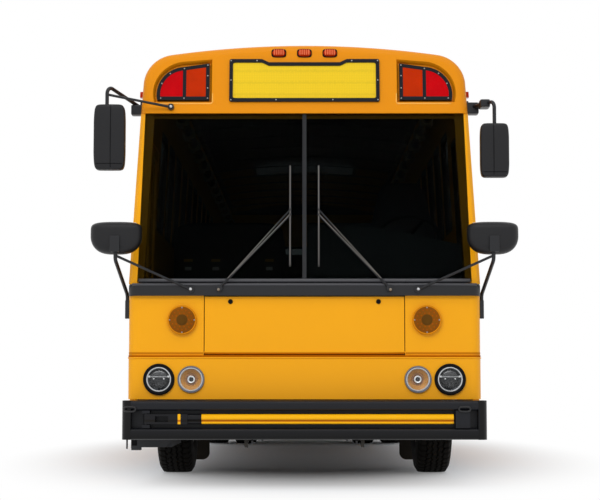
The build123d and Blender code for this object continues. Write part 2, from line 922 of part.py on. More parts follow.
arm_high = bumper_high - rail_rounding - bumper_sheet / 2  # under the bumper's upper flange
rear_arm_low = 500
rear_arm_high = 630
front_tow = (-5340, 318)
rear_tow = (5400, 452)
with BuildPart() as bearers:
    for station, left, right in bearer_table:
        block((-right, left), (station - bearer_width / 2, station + bearer_width / 2), (rail_top, floor_bottom))
with BuildPart() as ladder:
    with BuildSketch(cross_plane(rail_rear)):
        for side in (1, -1):
            with Locations((side * (rail_x - rail_flange / 2), (rail_bottom + rail_top) / 2)):
                Rectangle(rail_flange, rail_top - rail_bottom)
            with Locations((side * (rail_x - rail_sheet - rail_flange / 2), (rail_bottom + rail_top) / 2)):
                Rectangle(rail_flange, rail_top - rail_bottom - 2 * rail_sheet, mode=Mode.SUBTRACT)
    extrude(amount=rail_rear - rail_front)
    for station in cross_tubes:
        rod((-rail_x + 5, station, 870), (rail_x - 5, station, 870), 55)
    for station, height in hanger_table:
        for side in (1, -1):
            for way in (1, -1):
                inner = side * spring_x + way * spring_width / 2
                block(
                    (inner, inner + way * hanger_sheet),
                    (station - 45, station + 45),
                    (height - 40, rail_bottom),
                )
            reach = spring_width / 2 + hanger_sheet
            block(
                (side * spring_x - reach, side * spring_x + reach),
                (station - 45, station + 45),
                (rail_bottom - 10, rail_bottom),
            )
    for side in (1, -1):
        arm = (side * arm_inner, side * arm_outer)
        block(arm, (bumper_web_back, arm_front), (arm_low, arm_high))
        block(arm, (arm_front - arm_length, arm_front), (arm_low, rail_bottom))
        block(arm, (arm_rear, rear_web_front), (rear_arm_low, rear_arm_high))
        block(arm, (arm_rear, arm_rear + arm_length), (rear_arm_low, rail_bottom))
        for centre, top in ((front_tow, arm_low), (rear_tow, rear_arm_low)):
            with BuildSketch(Plane.YZ.offset(side * tow_x - tow_plate / 2)):
                with Locations(centre):
                    Circle(40)
                with Locations((centre[0], (centre[1] + top) / 2)):
                    Rectangle(80, top - centre[1])
                with Locations(centre):
                    Circle(tow_bore, mode=Mode.SUBTRACT)
            extrude(amount=tow_plate)
chassis_frame = Compound([*ladder.part.solids(), *bearers.part.solids()])

# Front and rear leaf springs with their clamps round the axles
spring_table = (
    # station, half length, seat height, eye height, clamp bottom, clamp half gap
    (front_axle_y, front_spring_half, axle_high, front_eye_z, axle_low, 62),
    (rear_axle_y, rear_spring_half, tyre_radius + tube_radius, rear_eye_z, tyre_radius - tube_radius, 92),
)
leaf_lengths = (1.0, 0.78, 0.56)


def spring_leaf(station, seat, radius, angle, level):
    # One leaf: an arc strip, its level counted from the lowest leaf
    centre = (station, seat + radius)
    inner = radius - (level + 1) * leaf
    outer = radius - level * leaf
    low = -math.pi / 2 - angle
    high = -math.pi / 2 + angle
    with BuildSketch(mode=Mode.PRIVATE) as strip:
        with BuildLine():
            ThreePointArc(
                arc_point(centre, outer, low), arc_point(centre, outer, -math.pi / 2), arc_point(centre, outer, high)
            )
            ThreePointArc(
                arc_point(centre, inner, low), arc_point(centre, inner, -math.pi / 2), arc_point(centre, inner, high)
            )
            Line(arc_point(centre, outer, low), arc_point(centre, inner, low))
            Line(arc_point(centre, outer, high), arc_point(centre, inner, high))
        make_face()
    return strip.sketch


with BuildPart() as suspension:
    for station, half, seat, eye, clamp, gap in spring_table:
        levels = len(leaf_lengths)
        rise = eye - seat - (levels - 0.5) * leaf
        radius = (half**2 + rise**2) / (2 * rise)
        sweep_angle = math.asin(half / radius)
        for side in (1, -1):
            with BuildSketch(Plane.YZ.offset(side * spring_x)):
                for order, share in enumerate(leaf_lengths):
                    level = levels - 1 - order
                    add(spring_leaf(station, seat, radius + (levels - 0.5) * leaf, share * sweep_angle, level))
                with Locations((station - half, eye), (station + half, eye)):
                    Circle(spring_eye)
            extrude(amount=spring_width / 2, both=True)
            top = seat + levels * leaf
            reach = spring_width / 2 + 26
            across = (side * spring_x - reach, side * spring_x + reach)
            block(across, (station - gap - 20, station + gap + 20), (top, top + 18))
            block(across, (station - gap - 20, station + gap + 20), (clamp - 16, clamp))
            for way in (1, -1):
                for x in (side * spring_x - reach + 12, side * spring_x + reach - 12):
                    rod((x, station + way * gap, clamp - 30), (x, station + way * gap, top + 34), 9)

# Steered front axle: forged beam with raised ends and kingpin eyes
with BuildPart() as front_axle:
    with BuildSketch(cross_plane(front_axle_y)):
        with BuildLine():
            Polyline(
                (0, axle_low),
                (590, axle_low),
                (715, eye_low - 70),
                (kingpin_x - 75, eye_low),
                (kingpin_x, eye_low),
                (kingpin_x, eye_high),
                (790, eye_high - 8),
                (640, axle_high),
                (0, axle_high),
            )
            mirror(about=Plane.YZ)
        make_face()
    extrude(amount=28, both=True)
    block((-560, 560), (front_axle_y - 45, front_axle_y + 45), (axle_low, axle_low + 22))
    block((-560, 560), (front_axle_y - 45, front_axle_y + 45), (axle_high - 22, axle_high))
    for side in (1, -1):
        rod((side * kingpin_x, front_axle_y, eye_low), (side * kingpin_x, front_axle_y, eye_high), eye_radius)
        with Locations((side * kingpin_x, front_axle_y, (eye_low + eye_high) / 2)):
            Cylinder(kingpin_radius + running_gap, 2 * (eye_high - eye_low), mode=Mode.SUBTRACT)

# Left knuckle: yoke, kingpin, spindle, brake plate, steering arm and ball stud
lug_gap = 3
lug_high = eye_high + lug_gap
lug_low = eye_low - lug_gap
yoke_x = kingpin_x + eye_radius + 4
spindle_end = front_wheel_x + 100
arm_top = lug_low - 40
stud_radius = 10
with BuildPart() as knuckle_left:
    block((yoke_x, yoke_x + 22), (front_axle_y - 44, front_axle_y + 44), (lug_low - 40, lug_high + 40))
    for low, high in ((lug_high, lug_high + 40), (lug_low - 40, lug_low)):
        block((kingpin_x, yoke_x + 1), (front_axle_y - 32, front_axle_y + 32), (low, high))
        rod((kingpin_x, front_axle_y, low), (kingpin_x, front_axle_y, high), 32)
    rod((kingpin_x, front_axle_y, lug_low - 40), (kingpin_x, front_axle_y, lug_high + 40), kingpin_radius)
    rod((yoke_x + 10, front_axle_y, tyre_radius), (spindle_end, front_axle_y, tyre_radius), spindle_radius)
    rod((yoke_x + 10, front_axle_y, tyre_radius), (yoke_x + 22, front_axle_y, tyre_radius), 180)
    block((kingpin_x - 15, kingpin_x + 15), (front_axle_y, front_axle_y + steer_arm), (arm_top - 28, arm_top))
    rod(
        (kingpin_x, front_axle_y + steer_arm, arm_top),
        (kingpin_x, front_axle_y + steer_arm, tie_rod_z - 20),
        stud_radius,
    )
with BuildPart() as knuckle_right:
    mirror(knuckle_left.part, about=Plane.YZ)

# Tie rod between the two ball studs
with BuildPart() as tie_rod:
    station = front_axle_y + steer_arm
    rod((-kingpin_x, station, tie_rod_z), (kingpin_x, station, tie_rod_z), tie_rod_radius)
    for x in (-kingpin_x, kingpin_x):
        rod((x, station, tie_rod_z - 15), (x, station, tie_rod_z + 15), 24)
        rod((x, station, tie_rod_z - 40), (x, station, tie_rod_z + 40), stud_radius + 0.5, Mode.SUBTRACT)

# Drive axle: tubes, round differential housing, spindles and the propeller shaft to the engine
engine_front = 4050
with BuildPart() as rear_axle:
    rod((-560, rear_axle_y, tyre_radius), (560, rear_axle_y, tyre_radius), tube_radius)
    rod((-dual_outer_x - 60, rear_axle_y, tyre_radius), (dual_outer_x + 60, rear_axle_y, tyre_radius), spindle_radius)
    with BuildSketch(cross_plane(rear_axle_y)):
        with Locations((0, tyre_radius)):
            Circle(205)
    extrude(amount=150, taper=24)
    with BuildSketch(cross_plane(rear_axle_y)):
        with Locations((0, tyre_radius)):
            Circle(205)
    extrude(amount=-190, taper=30)
    rod((0, rear_axle_y + 150, tyre_radius), (0, engine_front - 5, 640), 50)

# Rear engine and gearbox as one plain block on ears over the rails
engine_half = 330
engine_rear = 5250
engine_bottom = 420
engine_ears = (4360, 4960)
ear_half = 60
ear_tall = 40
with BuildPart() as engine:
    engine_top = platform_top - platform_sheet - ear_tall
    block((-engine_half, engine_half), (engine_front, engine_rear), (engine_bottom, engine_top))
    for station in engine_ears:
        ear = (station - ear_half, station + ear_half)
        block((-rail_x + 2, rail_x - 2), ear, (rail_top, rail_top + ear_tall))


def tyre_profile(x):
    # Tyre section beside its axle line: bead, sidewalls and tread
    half = tyre_width / 2
    outline = [
        (bead_half, bead_radius),
        (half, sidewall_radius),
        (tread_half, tyre_radius),
        (-tread_half, tyre_radius),
        (-half, sidewall_radius),
        (-bead_half, bead_radius),
    ]
    with BuildSketch(mode=Mode.PRIVATE) as section:
        Polygon(*[(x + along, radius) for along, radius in outline], align=None)
    return section.sketch


def rim_profile(x, disc_low, disc_high):
    # Rim barrel with flanges and a disc between two offsets from the rim's middle
    with BuildSketch(mode=Mode.PRIVATE) as section:
        with Locations((x, bead_radius - 10)):
            Rectangle(2 * rim_half, 20)
        for way in (1, -1):
            with Locations((x + way * (rim_half + wheel_sheet / 2), bead_radius + rim_flange / 2 - 10)):
                Rectangle(wheel_sheet, rim_flange + 20)
        with Locations((x + (disc_low + disc_high) / 2, (bead_radius - 10 + spindle_radius + 20) / 2)):
            Rectangle(disc_high - disc_low, bead_radius - 10 - spindle_radius - 20)
    return section.sketch


def wheel_plane(station):
    return Plane(origin=(0, station, tyre_radius), x_dir=(1, 0, 0), z_dir=(0, -1, 0))


def spin_axis(station):
    return Axis((0, station, tyre_radius), (1, 0, 0))


with BuildPart() as front_left_tyre:
    with BuildSketch(wheel_plane(front_axle_y)):
        add(tyre_profile(front_wheel_x))
    revolve(axis=spin_axis(front_axle_y))

# Front wheel: rim, pierced disc, hub with a cap and brake drum
hub_radius = 88
with BuildPart() as front_left_wheel:
    with BuildSketch(wheel_plane(front_axle_y)):
        add(rim_profile(front_wheel_x, 52, 52 + wheel_sheet))
        with Locations((front_wheel_x + 30, (hub_radius + spindle_radius + running_gap) / 2)):
            Rectangle(150, hub_radius - spindle_radius - running_gap)
        with Locations((front_wheel_x + 112, hub_radius / 2)):
            Rectangle(20, hub_radius)
        with Locations((front_wheel_x - 5, 190)):
            Rectangle(116, 16)
    revolve(axis=spin_axis(front_axle_y))
    with BuildSketch(Plane.YZ.offset(front_wheel_x + 40)):
        with Locations((front_axle_y, tyre_radius)):
            with PolarLocations(235, 8):
                Circle(24)
    extrude(amount=40, mode=Mode.SUBTRACT)

with BuildPart() as front_right_tyre:
    mirror(front_left_tyre.part, about=Plane.YZ)
with BuildPart() as front_right_wheel:
    mirror(front_left_wheel.part, about=Plane.YZ)

# Twin rear tyres on two rims, bolted together at one hub flange
hub_plane_x = (dual_outer_x + dual_inner_x) / 2
with BuildPart() as rear_left_tyres:
    with BuildSketch(wheel_plane(rear_axle_y)):
        add(tyre_profile(dual_outer_x))
        add(tyre_profile(dual_inner_x))
    revolve(axis=spin_axis(rear_axle_y))
with BuildPart() as rear_left_wheels:
    with BuildSketch(wheel_plane(rear_axle_y)):
        add(rim_profile(dual_outer_x, -90, -90 + wheel_sheet))
        add(rim_profile(dual_inner_x, 90 - wheel_sheet, 90))
        with Locations((hub_plane_x + 40, (hub_radius + spindle_radius + running_gap) / 2)):
            Rectangle(430, hub_radius - spindle_radius - running_gap)
        with Locations((hub_plane_x, 150)):
            Rectangle(dual_outer_x - dual_inner_x - 170, 2 * (150 - hub_radius) + 10)
        with Locations((hub_plane_x + 265, (hub_radius - 6) / 2)):
            Rectangle(22, hub_radius - 6)
    revolve(axis=spin_axis(rear_axle_y))
    with BuildSketch(Plane.YZ.offset(dual_outer_x - 100)):
        with Locations((rear_axle_y, tyre_radius)):
            with PolarLocations(240, 8):
                Circle(24)
    extrude(amount=60, mode=Mode.SUBTRACT)
with BuildPart() as rear_right_tyres:
    mirror(rear_left_tyres.part, about=Plane.YZ)
with BuildPart() as rear_right_wheels:
    mirror(rear_left_wheels.part, about=Plane.YZ)

# Front bumper: two rounded rails on a web, return flanges behind, rounded end caps, and the gate's hinge lugs
gate_front = bumper_face + 4
hinge_radius = 12
hinge_y = bumper_face + 20
gate_pin = 8
lug_half = 26
lug_clear = 5
holder_gap = 12
holder_length = 98
recess_half = bumper_half - end_cap
web_face = bumper_face + recess_depth
with BuildPart() as front_bumper:
    with BuildSketch(Plane.YZ.offset(-recess_half)):
        for low, high in ((bumper_low, rail_join_low), (rail_join_high, bumper_high)):
            with Locations(((bumper_face + bumper_web_back) / 2, (low + high) / 2)):
                RectangleRounded(bumper_web_back - bumper_face, high - low, rail_rounding)
        with Locations(((web_face + bumper_web_back) / 2, (bumper_low + bumper_high) / 2)):
            Rectangle(bumper_sheet, bumper_high - bumper_low - 2 * rail_rounding)
        for height in (bumper_low + rail_rounding, bumper_high - rail_rounding):
            with Locations(((web_face + bumper_back) / 2, height)):
                Rectangle(bumper_back - web_face, bumper_sheet)
    extrude(amount=2 * recess_half)
    for side in (1, -1):
        with BuildSketch(Plane.XY.offset(bumper_low)):
            with Locations((side * (recess_half + end_cap / 2), (bumper_face + bumper_back) / 2)):
                Rectangle(end_cap, bumper_back - bumper_face)
        extrude(amount=bumper_high - bumper_low)
    outer_edges = [edge for edge in front_bumper.edges().filter_by(Axis.Z) if abs(edge.center().X) > bumper_half - 1]
    fillet([edge for edge in outer_edges if edge.center().Y < bumper_back - 1], end_rounding)
    rod((gate_pivot_x, hinge_y, rail_join_low), (gate_pivot_x, hinge_y, rail_join_high), gate_pin)
    lug_across = (gate_pivot_x - lug_half, gate_pivot_x + lug_half)
    lug_along = (hinge_y - lug_half / 2, web_face)
    block(lug_across, lug_along, (rail_join_low, gate_low - lug_clear))
    block(lug_across, lug_along, (gate_low + gate_height + lug_clear, rail_join_high))
    block(
        (gate_tip_x + holder_gap, gate_tip_x + holder_gap + holder_length),
        (gate_front, web_face),
        (rail_join_low, rail_join_high),
    )

# Crossing gate folded along the bumper, swinging forwards on an upright hinge at the door side
with BuildPart() as crossing_gate:
    with BuildSketch(Plane.YZ.offset(gate_pivot_x + 130)):
        with Locations((gate_front + gate_depth / 2 + 2, gate_low + gate_height - 22)):
            Circle(22)
        with Locations((gate_front + gate_depth / 2 + 2, gate_low + 12)):
            Circle(12)
        with Locations((gate_front + gate_depth / 2 + 2, gate_low + 28)):
            Rectangle(16, 18)
    extrude(amount=gate_tip_x - gate_pivot_x - 130)
    block(
        (gate_pivot_x + 30, gate_pivot_x + 280),
        (gate_front, gate_front + gate_depth),
        (gate_low, gate_low + gate_height),
    )
    block(
        (gate_pivot_x + 62, gate_pivot_x + 150),
        (gate_front - 10, gate_front + gate_depth + 10),
        (gate_low + 14, gate_low + gate_height - 14),
        Mode.SUBTRACT,
    )
    block(
        (gate_pivot_x, gate_pivot_x + 40),
        (gate_front, gate_front + 2 * hinge_radius + 8),
        (gate_low, gate_low + gate_height),
    )
    rod((gate_pivot_x, hinge_y, gate_low), (gate_pivot_x, hinge_y, gate_low + gate_height), 16)
    rod(
        (gate_pivot_x, hinge_y, gate_low),
        (gate_pivot_x, hinge_y, gate_low + gate_height),
        gate_pin + running_gap,
        Mode.SUBTRACT,
    )

# Rear bumper, wrapped round the corners
with BuildPart() as rear_bumper:
    with BuildSketch(Plane.XY.offset(rear_bumper_low)):
        with Locations((0, (rear_face + rear_bumper_face) / 2)):
            Rectangle(2 * bumper_half, rear_bumper_face - rear_face)
    extrude(amount=rear_bumper_high - rear_bumper_low)
    upright = rear_bumper.edges().filter_by(Axis.Z).group_by(Axis.Y)[-1]
    fillet(upright, 70)
    block(
        (end_cap - bumper_half, bumper_half - end_cap),
        (rear_face, rear_web_front),
        (rear_bumper_low + bumper_sheet, rear_bumper_high - bumper_sheet),
        Mode.SUBTRACT,
    )


def side_pad(side, stations, heights, proud):
    # Plate on the outside of a wall or the cap, with its back on the leaning side
    low, high = heights
    outline = [
        (side_at(low), low),
        (side_at(low) + proud, low),
        (side_at(high) + proud, high),
        (side_at(high), high),
    ]
    with BuildPart(mode=Mode.PRIVATE) as pad:
        with BuildSketch(cross_plane(stations[1])):
            Polygon(*[(side * x, z) for x, z in outline], align=None)
        extrude(amount=stations[1] - stations[0])
    return pad.part


# Rub rails along both sides, and the box with two lugs that carries the stop arm
rub_rails = (
    # low, high
    (1175, 1255),
    (1500, 1580),
    (1810, 1870),
)
rail_proud = 14
rail_runs = (
    # side, start, end
    (1, driver_window[1] + 70, emergency_start - 30),
    (1, emergency_end + 30, rear_inside),
    (-1, entrance_rear + 40, rear_inside),
)
arm_box = (-4090, -4000)
arm_box_heights = (1590, 1790)
arm_box_proud = 62
arm_lug = 26
arm_hinge_x = side_at(arm_box_heights[0]) + 46
arm_hinge_y = arm_box[1] + 18
arm_pin = 8
with BuildPart() as side_trim:
    for side, start, end in rail_runs:
        for heights in rub_rails:
            add(side_pad(side, (start, end), heights, rail_proud))
    add(side_pad(1, arm_box, arm_box_heights, arm_box_proud))
    for low, high in (
        (arm_box_heights[0], arm_box_heights[0] + arm_lug),
        (arm_box_heights[1] - arm_lug, arm_box_heights[1]),
    ):
        block((arm_hinge_x - 14, arm_hinge_x + 14), (arm_box[1] - 5, arm_hinge_y + 14), (low, high))
    rod((arm_hinge_x, arm_hinge_y, arm_box_heights[0]), (arm_hinge_x, arm_hinge_y, arm_box_heights[1]), arm_pin)

# Stop arm: an octagonal blade folded back along the side, turning on an upright pin
arm_size = 450
arm_sheet = 10
arm_neck = 30
arm_middle_z = (arm_box_heights[0] + arm_box_heights[1]) / 2
barrel_low = arm_box_heights[0] + arm_lug + 1
barrel_high = arm_box_heights[1] - arm_lug - 1
with BuildPart() as stop_arm:
    with BuildSketch(Plane.YZ.offset(arm_hinge_x - arm_sheet / 2)):
        with Locations((arm_hinge_y + arm_neck + arm_size / 2, arm_middle_z)):
            RegularPolygon(arm_size / 2, 8, major_radius=False, rotation=22.5)
        with Locations((arm_hinge_y + arm_neck, arm_middle_z)):
            Rectangle(2 * arm_neck, barrel_high - barrel_low)
    extrude(amount=arm_sheet)
    rod((arm_hinge_x, arm_hinge_y, barrel_low), (arm_hinge_x, arm_hinge_y, barrel_high), arm_pin + 6)
    rod(
        (arm_hinge_x, arm_hinge_y, barrel_low),
        (arm_hinge_x, arm_hinge_y, barrel_high),
        arm_pin + running_gap,
        Mode.SUBTRACT,
    )

# Rear lamp places on the flat of the rear wall
rear_lamp_low = 2640
rear_lamp_high = 2890
rear_lamp_proud = 24
tail_x = 985
tail_table = (
    # height, radius, amber
    (1800, 90, False),
    (1610, 90, True),
    (1430, 60, False),
)


def rear_cell(x_low, x_high):
    # One lens window of a rear warning lamp pair
    with BuildSketch(mode=Mode.PRIVATE) as cell:
        with Locations(((x_low + x_high) / 2, (rear_lamp_low + rear_lamp_high) / 2)):
            RectangleRounded(x_high - x_low, rear_lamp_high - rear_lamp_low - 2 * lamp_frame, 12)
        mirror(about=Plane.YZ)
    return cell.sketch


def front_cells(inner, outer):
    # Lens windows of the front warning lamps: the inner one, the outer one or both
    with BuildSketch(mode=Mode.PRIVATE) as cells:
        add(warning_outline("frame", lamp_frame))
        with Locations((lamp_divider_x, cap_rise(lamp_low))):
            Rectangle(lamp_frame, 2000, mode=Mode.SUBTRACT)
            if not inner:
                Rectangle(1000, 2000, align=(Align.MAX, Align.CENTER), mode=Mode.SUBTRACT)
            if not outer:
                Rectangle(1000, 2000, align=(Align.MIN, Align.CENTER), mode=Mode.SUBTRACT)
        mirror(about=Plane.YZ)
    return cells.sketch


rear_inner_cell = (lamp_inner_x + lamp_frame, lamp_divider_x - lamp_frame / 2)
rear_outer_cell = (lamp_divider_x + lamp_frame / 2, lamp_outer_x - lamp_frame)
lamp_base = 12
frame_lip = 8  # lamp frames stop this far below the cap's face
bezel_proud = 14

# Black lamp housings, sign frames and headlamp bezels
with BuildPart() as lamp_frames:
    with BuildSketch(cap_plane.offset(-pocket_depth)):
        add(warning_outline("frame"))
        mirror(about=Plane.YZ)
    extrude(amount=pocket_depth - frame_lip)
    with BuildSketch(cap_plane.offset(lamp_base - pocket_depth)):
        add(front_cells(True, True))
    extrude(amount=2 * pocket_depth, mode=Mode.SUBTRACT)
    with BuildSketch(cap_plane):
        add(sign_outline(0))
        add(sign_outline(sign_border), mode=Mode.SUBTRACT)
    extrude(amount=sign_thickness)
    for x, z, outer, hole in lamp_table:
        with BuildSketch(cross_plane(front_face)):
            with Locations((x, z), (-x, z)):
                Circle(outer)
                Circle(hole, mode=Mode.SUBTRACT)
        extrude(amount=bezel_proud)
    with BuildSketch(cross_plane(rear_face)):
        with Locations(((lamp_inner_x + lamp_outer_x) / 2, (rear_lamp_low + rear_lamp_high) / 2)):
            RectangleRounded(lamp_outer_x - lamp_inner_x, rear_lamp_high - rear_lamp_low, 18)
        mirror(about=Plane.YZ)
        add(rear_cell(*rear_inner_cell), mode=Mode.SUBTRACT)
        add(rear_cell(*rear_outer_cell), mode=Mode.SUBTRACT)
        with Locations((0, (rear_lamp_low + rear_lamp_high) / 2)):
            Rectangle(2 * sign_half, rear_lamp_high - rear_lamp_low)
            Rectangle(
                2 * (sign_half - sign_border),
                rear_lamp_high - rear_lamp_low - 2 * sign_border,
                mode=Mode.SUBTRACT,
            )
    extrude(amount=-rear_lamp_proud)

# Blank sign boards at the front and the back
board = 8
with BuildPart() as sign_boards:
    with BuildSketch(cap_plane):
        add(sign_outline(sign_border))
    extrude(amount=board)
    with BuildSketch(cross_plane(rear_face)):
        with Locations((0, (rear_lamp_low + rear_lamp_high) / 2)):
            Rectangle(
                2 * (sign_half - sign_border),
                rear_lamp_high - rear_lamp_low - 2 * sign_border,
            )
    extrude(amount=-board)

# Round headlamps and driving lamps, set through the lamp panel
lamp_back = 60
with BuildPart() as headlamps:
    for x, z, outer, hole in lamp_table:
        with BuildSketch(cross_plane(front_face + lamp_back)):
            with Locations((x, z), (-x, z)):
                Circle(hole)
        extrude(amount=lamp_back + bezel_proud - 4)
    lens_edges = headlamps.edges().filter_by(GeomType.CIRCLE).group_by(Axis.Y)[0]
    fillet(lens_edges, 6)

# Amber lamps: turn signals, inner warning lenses and roof markers
lens_depth = 20
marker_depth = 26
side_marker_z = 2786
side_marker_y = -5020
with BuildPart() as amber_lamps:
    with BuildSketch(cross_plane(upper_face)):
        with Locations((turn_x, turn_z), (-turn_x, turn_z)):
            Circle(turn_radius)
    extrude(amount=24, taper=12)
    with BuildSketch(cap_plane.offset(lamp_base - pocket_depth)):
        add(front_cells(True, False))
    extrude(amount=lens_depth)
    with BuildSketch(cap_plane):
        for place in (-1, 0, 1):
            with Locations((place * marker_pitch, cap_rise(marker_height))):
                SlotOverall(marker_width, marker_tall)
    extrude(amount=marker_depth, taper=15)
    with BuildSketch(cross_plane(rear_face)):
        add(rear_cell(*rear_inner_cell))
    extrude(amount=-lens_depth)
    for height, radius, amber in tail_table:
        if amber:
            with BuildSketch(cross_plane(rear_face)):
                with Locations((tail_x, height), (-tail_x, height)):
                    Circle(radius)
            extrude(amount=-lens_depth)
    for side in (1, -1):
        add(side_pad(side, (side_marker_y - 25, side_marker_y + 25), (side_marker_z - 20, side_marker_z + 20), 36))

# Red lamps: outer warning lenses, tail and stop lamps
with BuildPart() as red_lamps:
    with BuildSketch(cap_plane.offset(lamp_base - pocket_depth)):
        add(front_cells(False, True))
    extrude(amount=lens_depth)
    with BuildSketch(cross_plane(rear_face)):
        add(rear_cell(*rear_outer_cell))
        for height, radius, amber in tail_table:
            if not amber:
                with Locations((tail_x, height), (-tail_x, height)):
                    Circle(radius)
        for place in (-1, 0, 1):
            with Locations((place * marker_pitch, rear_lamp_high + 70)):
                SlotOverall(marker_width, marker_tall)
    extrude(amount=-lens_depth)

# Wipers: a pivot on the cowl, twin arms and an upright blade on the glass
wiper_pivot = (587, 1372)
wiper_joint = (92, 1898)
blade_x = 100
blade_low = 1527
blade_high = 2241
blade_width = 14
blade_depth = 26
cowl_face = front_face - cowl_proud
with BuildPart() as wipers:
    for side in (1, -1):
        pivot = (side * wiper_pivot[0], cowl_face - 18, wiper_pivot[1])
        rod((pivot[0], cowl_face, pivot[2]), (pivot[0], cowl_face - 34, pivot[2]), 22)
        end = (side * wiper_joint[0], glass_y(wiper_joint[1]) - 24, wiper_joint[1])
        rod(pivot, end, 8)
        rod((pivot[0] - side * 30, pivot[1], pivot[2] + 36), (end[0], end[1], end[2] + 36), 6)
        rod((pivot[0], pivot[1], pivot[2]), (pivot[0] - side * 30, pivot[1], pivot[2] + 36), 8)
    with BuildSketch(glass_plane.offset(2)):
        for side in (1, -1):
            with Locations((side * blade_x, (blade_low + blade_high) / 2 - glass_bottom)):
                Rectangle(blade_width, blade_high - blade_low)
    extrude(amount=blade_depth)

# Mirror heads: tall rounded boxes at the top, and flat-topped domes for the near view
head_table = (
    # side, inner x, outer x, low, high, tube x
    (-1, 1239, 1458, 2186, 2643, 1369),
    (1, 1214, 1414, 2135, 2510, 1316),
)
arm_tube = 13
socket = 60  # length of arm tube inside a mirror head
head_front = -5500
head_depth = 110
dome_inner = 1115
dome_outer = 1465
dome_low = 1618
dome_high = 1832
dome_front = -5585
dome_depth = 95
dome_middle = (dome_inner + dome_outer) / 2
dome_back = dome_front + dome_depth
dome_tube_y = dome_front + 45
head_back = head_front + head_depth
head_tube_y = head_back - 50


def dome_outline(inset):
    # Flat top, rounded shoulders and a bowed underside, on the left
    half = (dome_outer - dome_inner) / 2 - inset
    top = dome_high - inset
    low = dome_low + inset
    shoulder = top - 45
    with BuildSketch(mode=Mode.PRIVATE) as outline:
        with BuildLine():
            Line((dome_middle - half + 40, top), (dome_middle + half - 40, top))
            ThreePointArc(
                (dome_middle + half - 40, top),
                (dome_middle + half - 12, top - 12),
                (dome_middle + half, shoulder),
            )
            ThreePointArc((dome_middle + half, shoulder), (dome_middle, low), (dome_middle - half, shoulder))
            ThreePointArc(
                (dome_middle - half, shoulder),
                (dome_middle - half + 12, top - 12),
                (dome_middle - half + 40, top),
            )
        make_face()
    return outline.sketch


with BuildPart() as mirror_heads:
    for side, inner, outer, low, high, tube_x in head_table:
        with BuildSketch(cross_plane(head_back)):
            with Locations((side * (inner + outer) / 2, (low + high) / 2)):
                RectangleRounded(outer - inner, high - low, 38)
        extrude(amount=head_depth, taper=6)
    with BuildSketch(cross_plane(dome_back)):
        add(dome_outline(0))
        mirror(about=Plane.YZ)
    extrude(amount=dome_depth, taper=14)
    for side, inner, outer, low, high, tube_x in head_table:
        top = (side * tube_x, head_tube_y, high)
        rod(top, (top[0], top[1], high - socket), arm_tube, Mode.SUBTRACT)
    for side in (1, -1):
        foot = (side * dome_middle, dome_tube_y, dome_low)
        rod(foot, (foot[0], foot[1], dome_low + socket), arm_tube, Mode.SUBTRACT)

mirror_sheet = 6
with BuildPart() as mirror_glass:
    for side, inner, outer, low, high, tube_x in head_table:
        with BuildSketch(cross_plane(head_back)):
            with Locations((side * (inner + outer) / 2, (low + high) / 2)):
                RectangleRounded(outer - inner - 30, high - low - 30, 26)
        extrude(amount=-mirror_sheet)
    with BuildSketch(cross_plane(dome_back)):
        add(dome_outline(14))
        mirror(about=Plane.YZ)
    extrude(amount=-3 * mirror_sheet, taper=40)

# Mirror arms: bent tubes, braces, feet and side plates
brace_tube = 9
arm_bend = 45
low_bracket = (1168, 1294)
low_bracket_y = (-5272, -5205)
low_bracket_proud = 30
cowl_foot = (781, 1362)
cowl_foot_radius = 20
arm_x = half_width + 18
arm_y = (low_bracket_y[0] + low_bracket_y[1]) / 2
arm_drop = 60  # below a dome before the arm bends in
arm_rise = 40  # above its bracket before the arm bends out
upper_pads = {
    # stations, heights, arm height at the pad, elbow height by side
    -1: ((-5170, -5080), (2626, 2716), 2676, 2780),
    1: ((-5170, -5080), (2626, 2716), 2672, 2668),
}
pad_proud = 16
brace_z = 2716
cap_foot = (939, 2654)
cap_foot_radius = 22
cap_foot_depth = 26
with BuildPart() as mirror_arms:
    for side in (1, -1):
        block((side * half_width, side * (half_width + low_bracket_proud)), low_bracket_y, low_bracket)
        add(
            bent_tube(
                [
                    (side * dome_middle, dome_tube_y, dome_low + socket),
                    (side * dome_middle, dome_tube_y, dome_low - arm_drop),
                    (side * arm_x, arm_y, low_bracket[1] + arm_rise),
                    (side * arm_x, arm_y, low_bracket[1]),
                ],
                arm_bend,
                arm_tube,
            )
        )
        foot = (side * cowl_foot[0], cowl_face, cowl_foot[1])
        rod((side * dome_middle, dome_tube_y, dome_low - arm_drop / 2), (foot[0], cowl_face - 10, foot[2]), brace_tube)
        rod(foot, (foot[0], cowl_face - cowl_foot_radius, foot[2]), cowl_foot_radius)
    for side, inner, outer, low, high, tube_x in head_table:
        stations, heights, pad_z, elbow_z = upper_pads[side]
        add(side_pad(side, stations, heights, pad_proud))
        add(
            bent_tube(
                [
                    (side * (side_at(pad_z) + pad_proud), (stations[0] + stations[1]) / 2, pad_z),
                    (side * tube_x, head_tube_y, elbow_z),
                    (side * tube_x, head_tube_y, high - socket),
                ],
                arm_bend,
                arm_tube,
            )
        )
    foot_y = cap_lip_y + math.tan(cap_tilt) * (cap_foot[1] - cap_bottom)
    brace_end = (-cap_foot[0], foot_y - cap_foot_depth + 4, cap_foot[1])
    rod((-head_table[0][5], head_tube_y, brace_z), brace_end, brace_tube)
    with BuildSketch(cap_plane):
        with Locations((-cap_foot[0], cap_rise(cap_foot[1]))):
            Circle(cap_foot_radius)
    extrude(amount=cap_foot_depth)

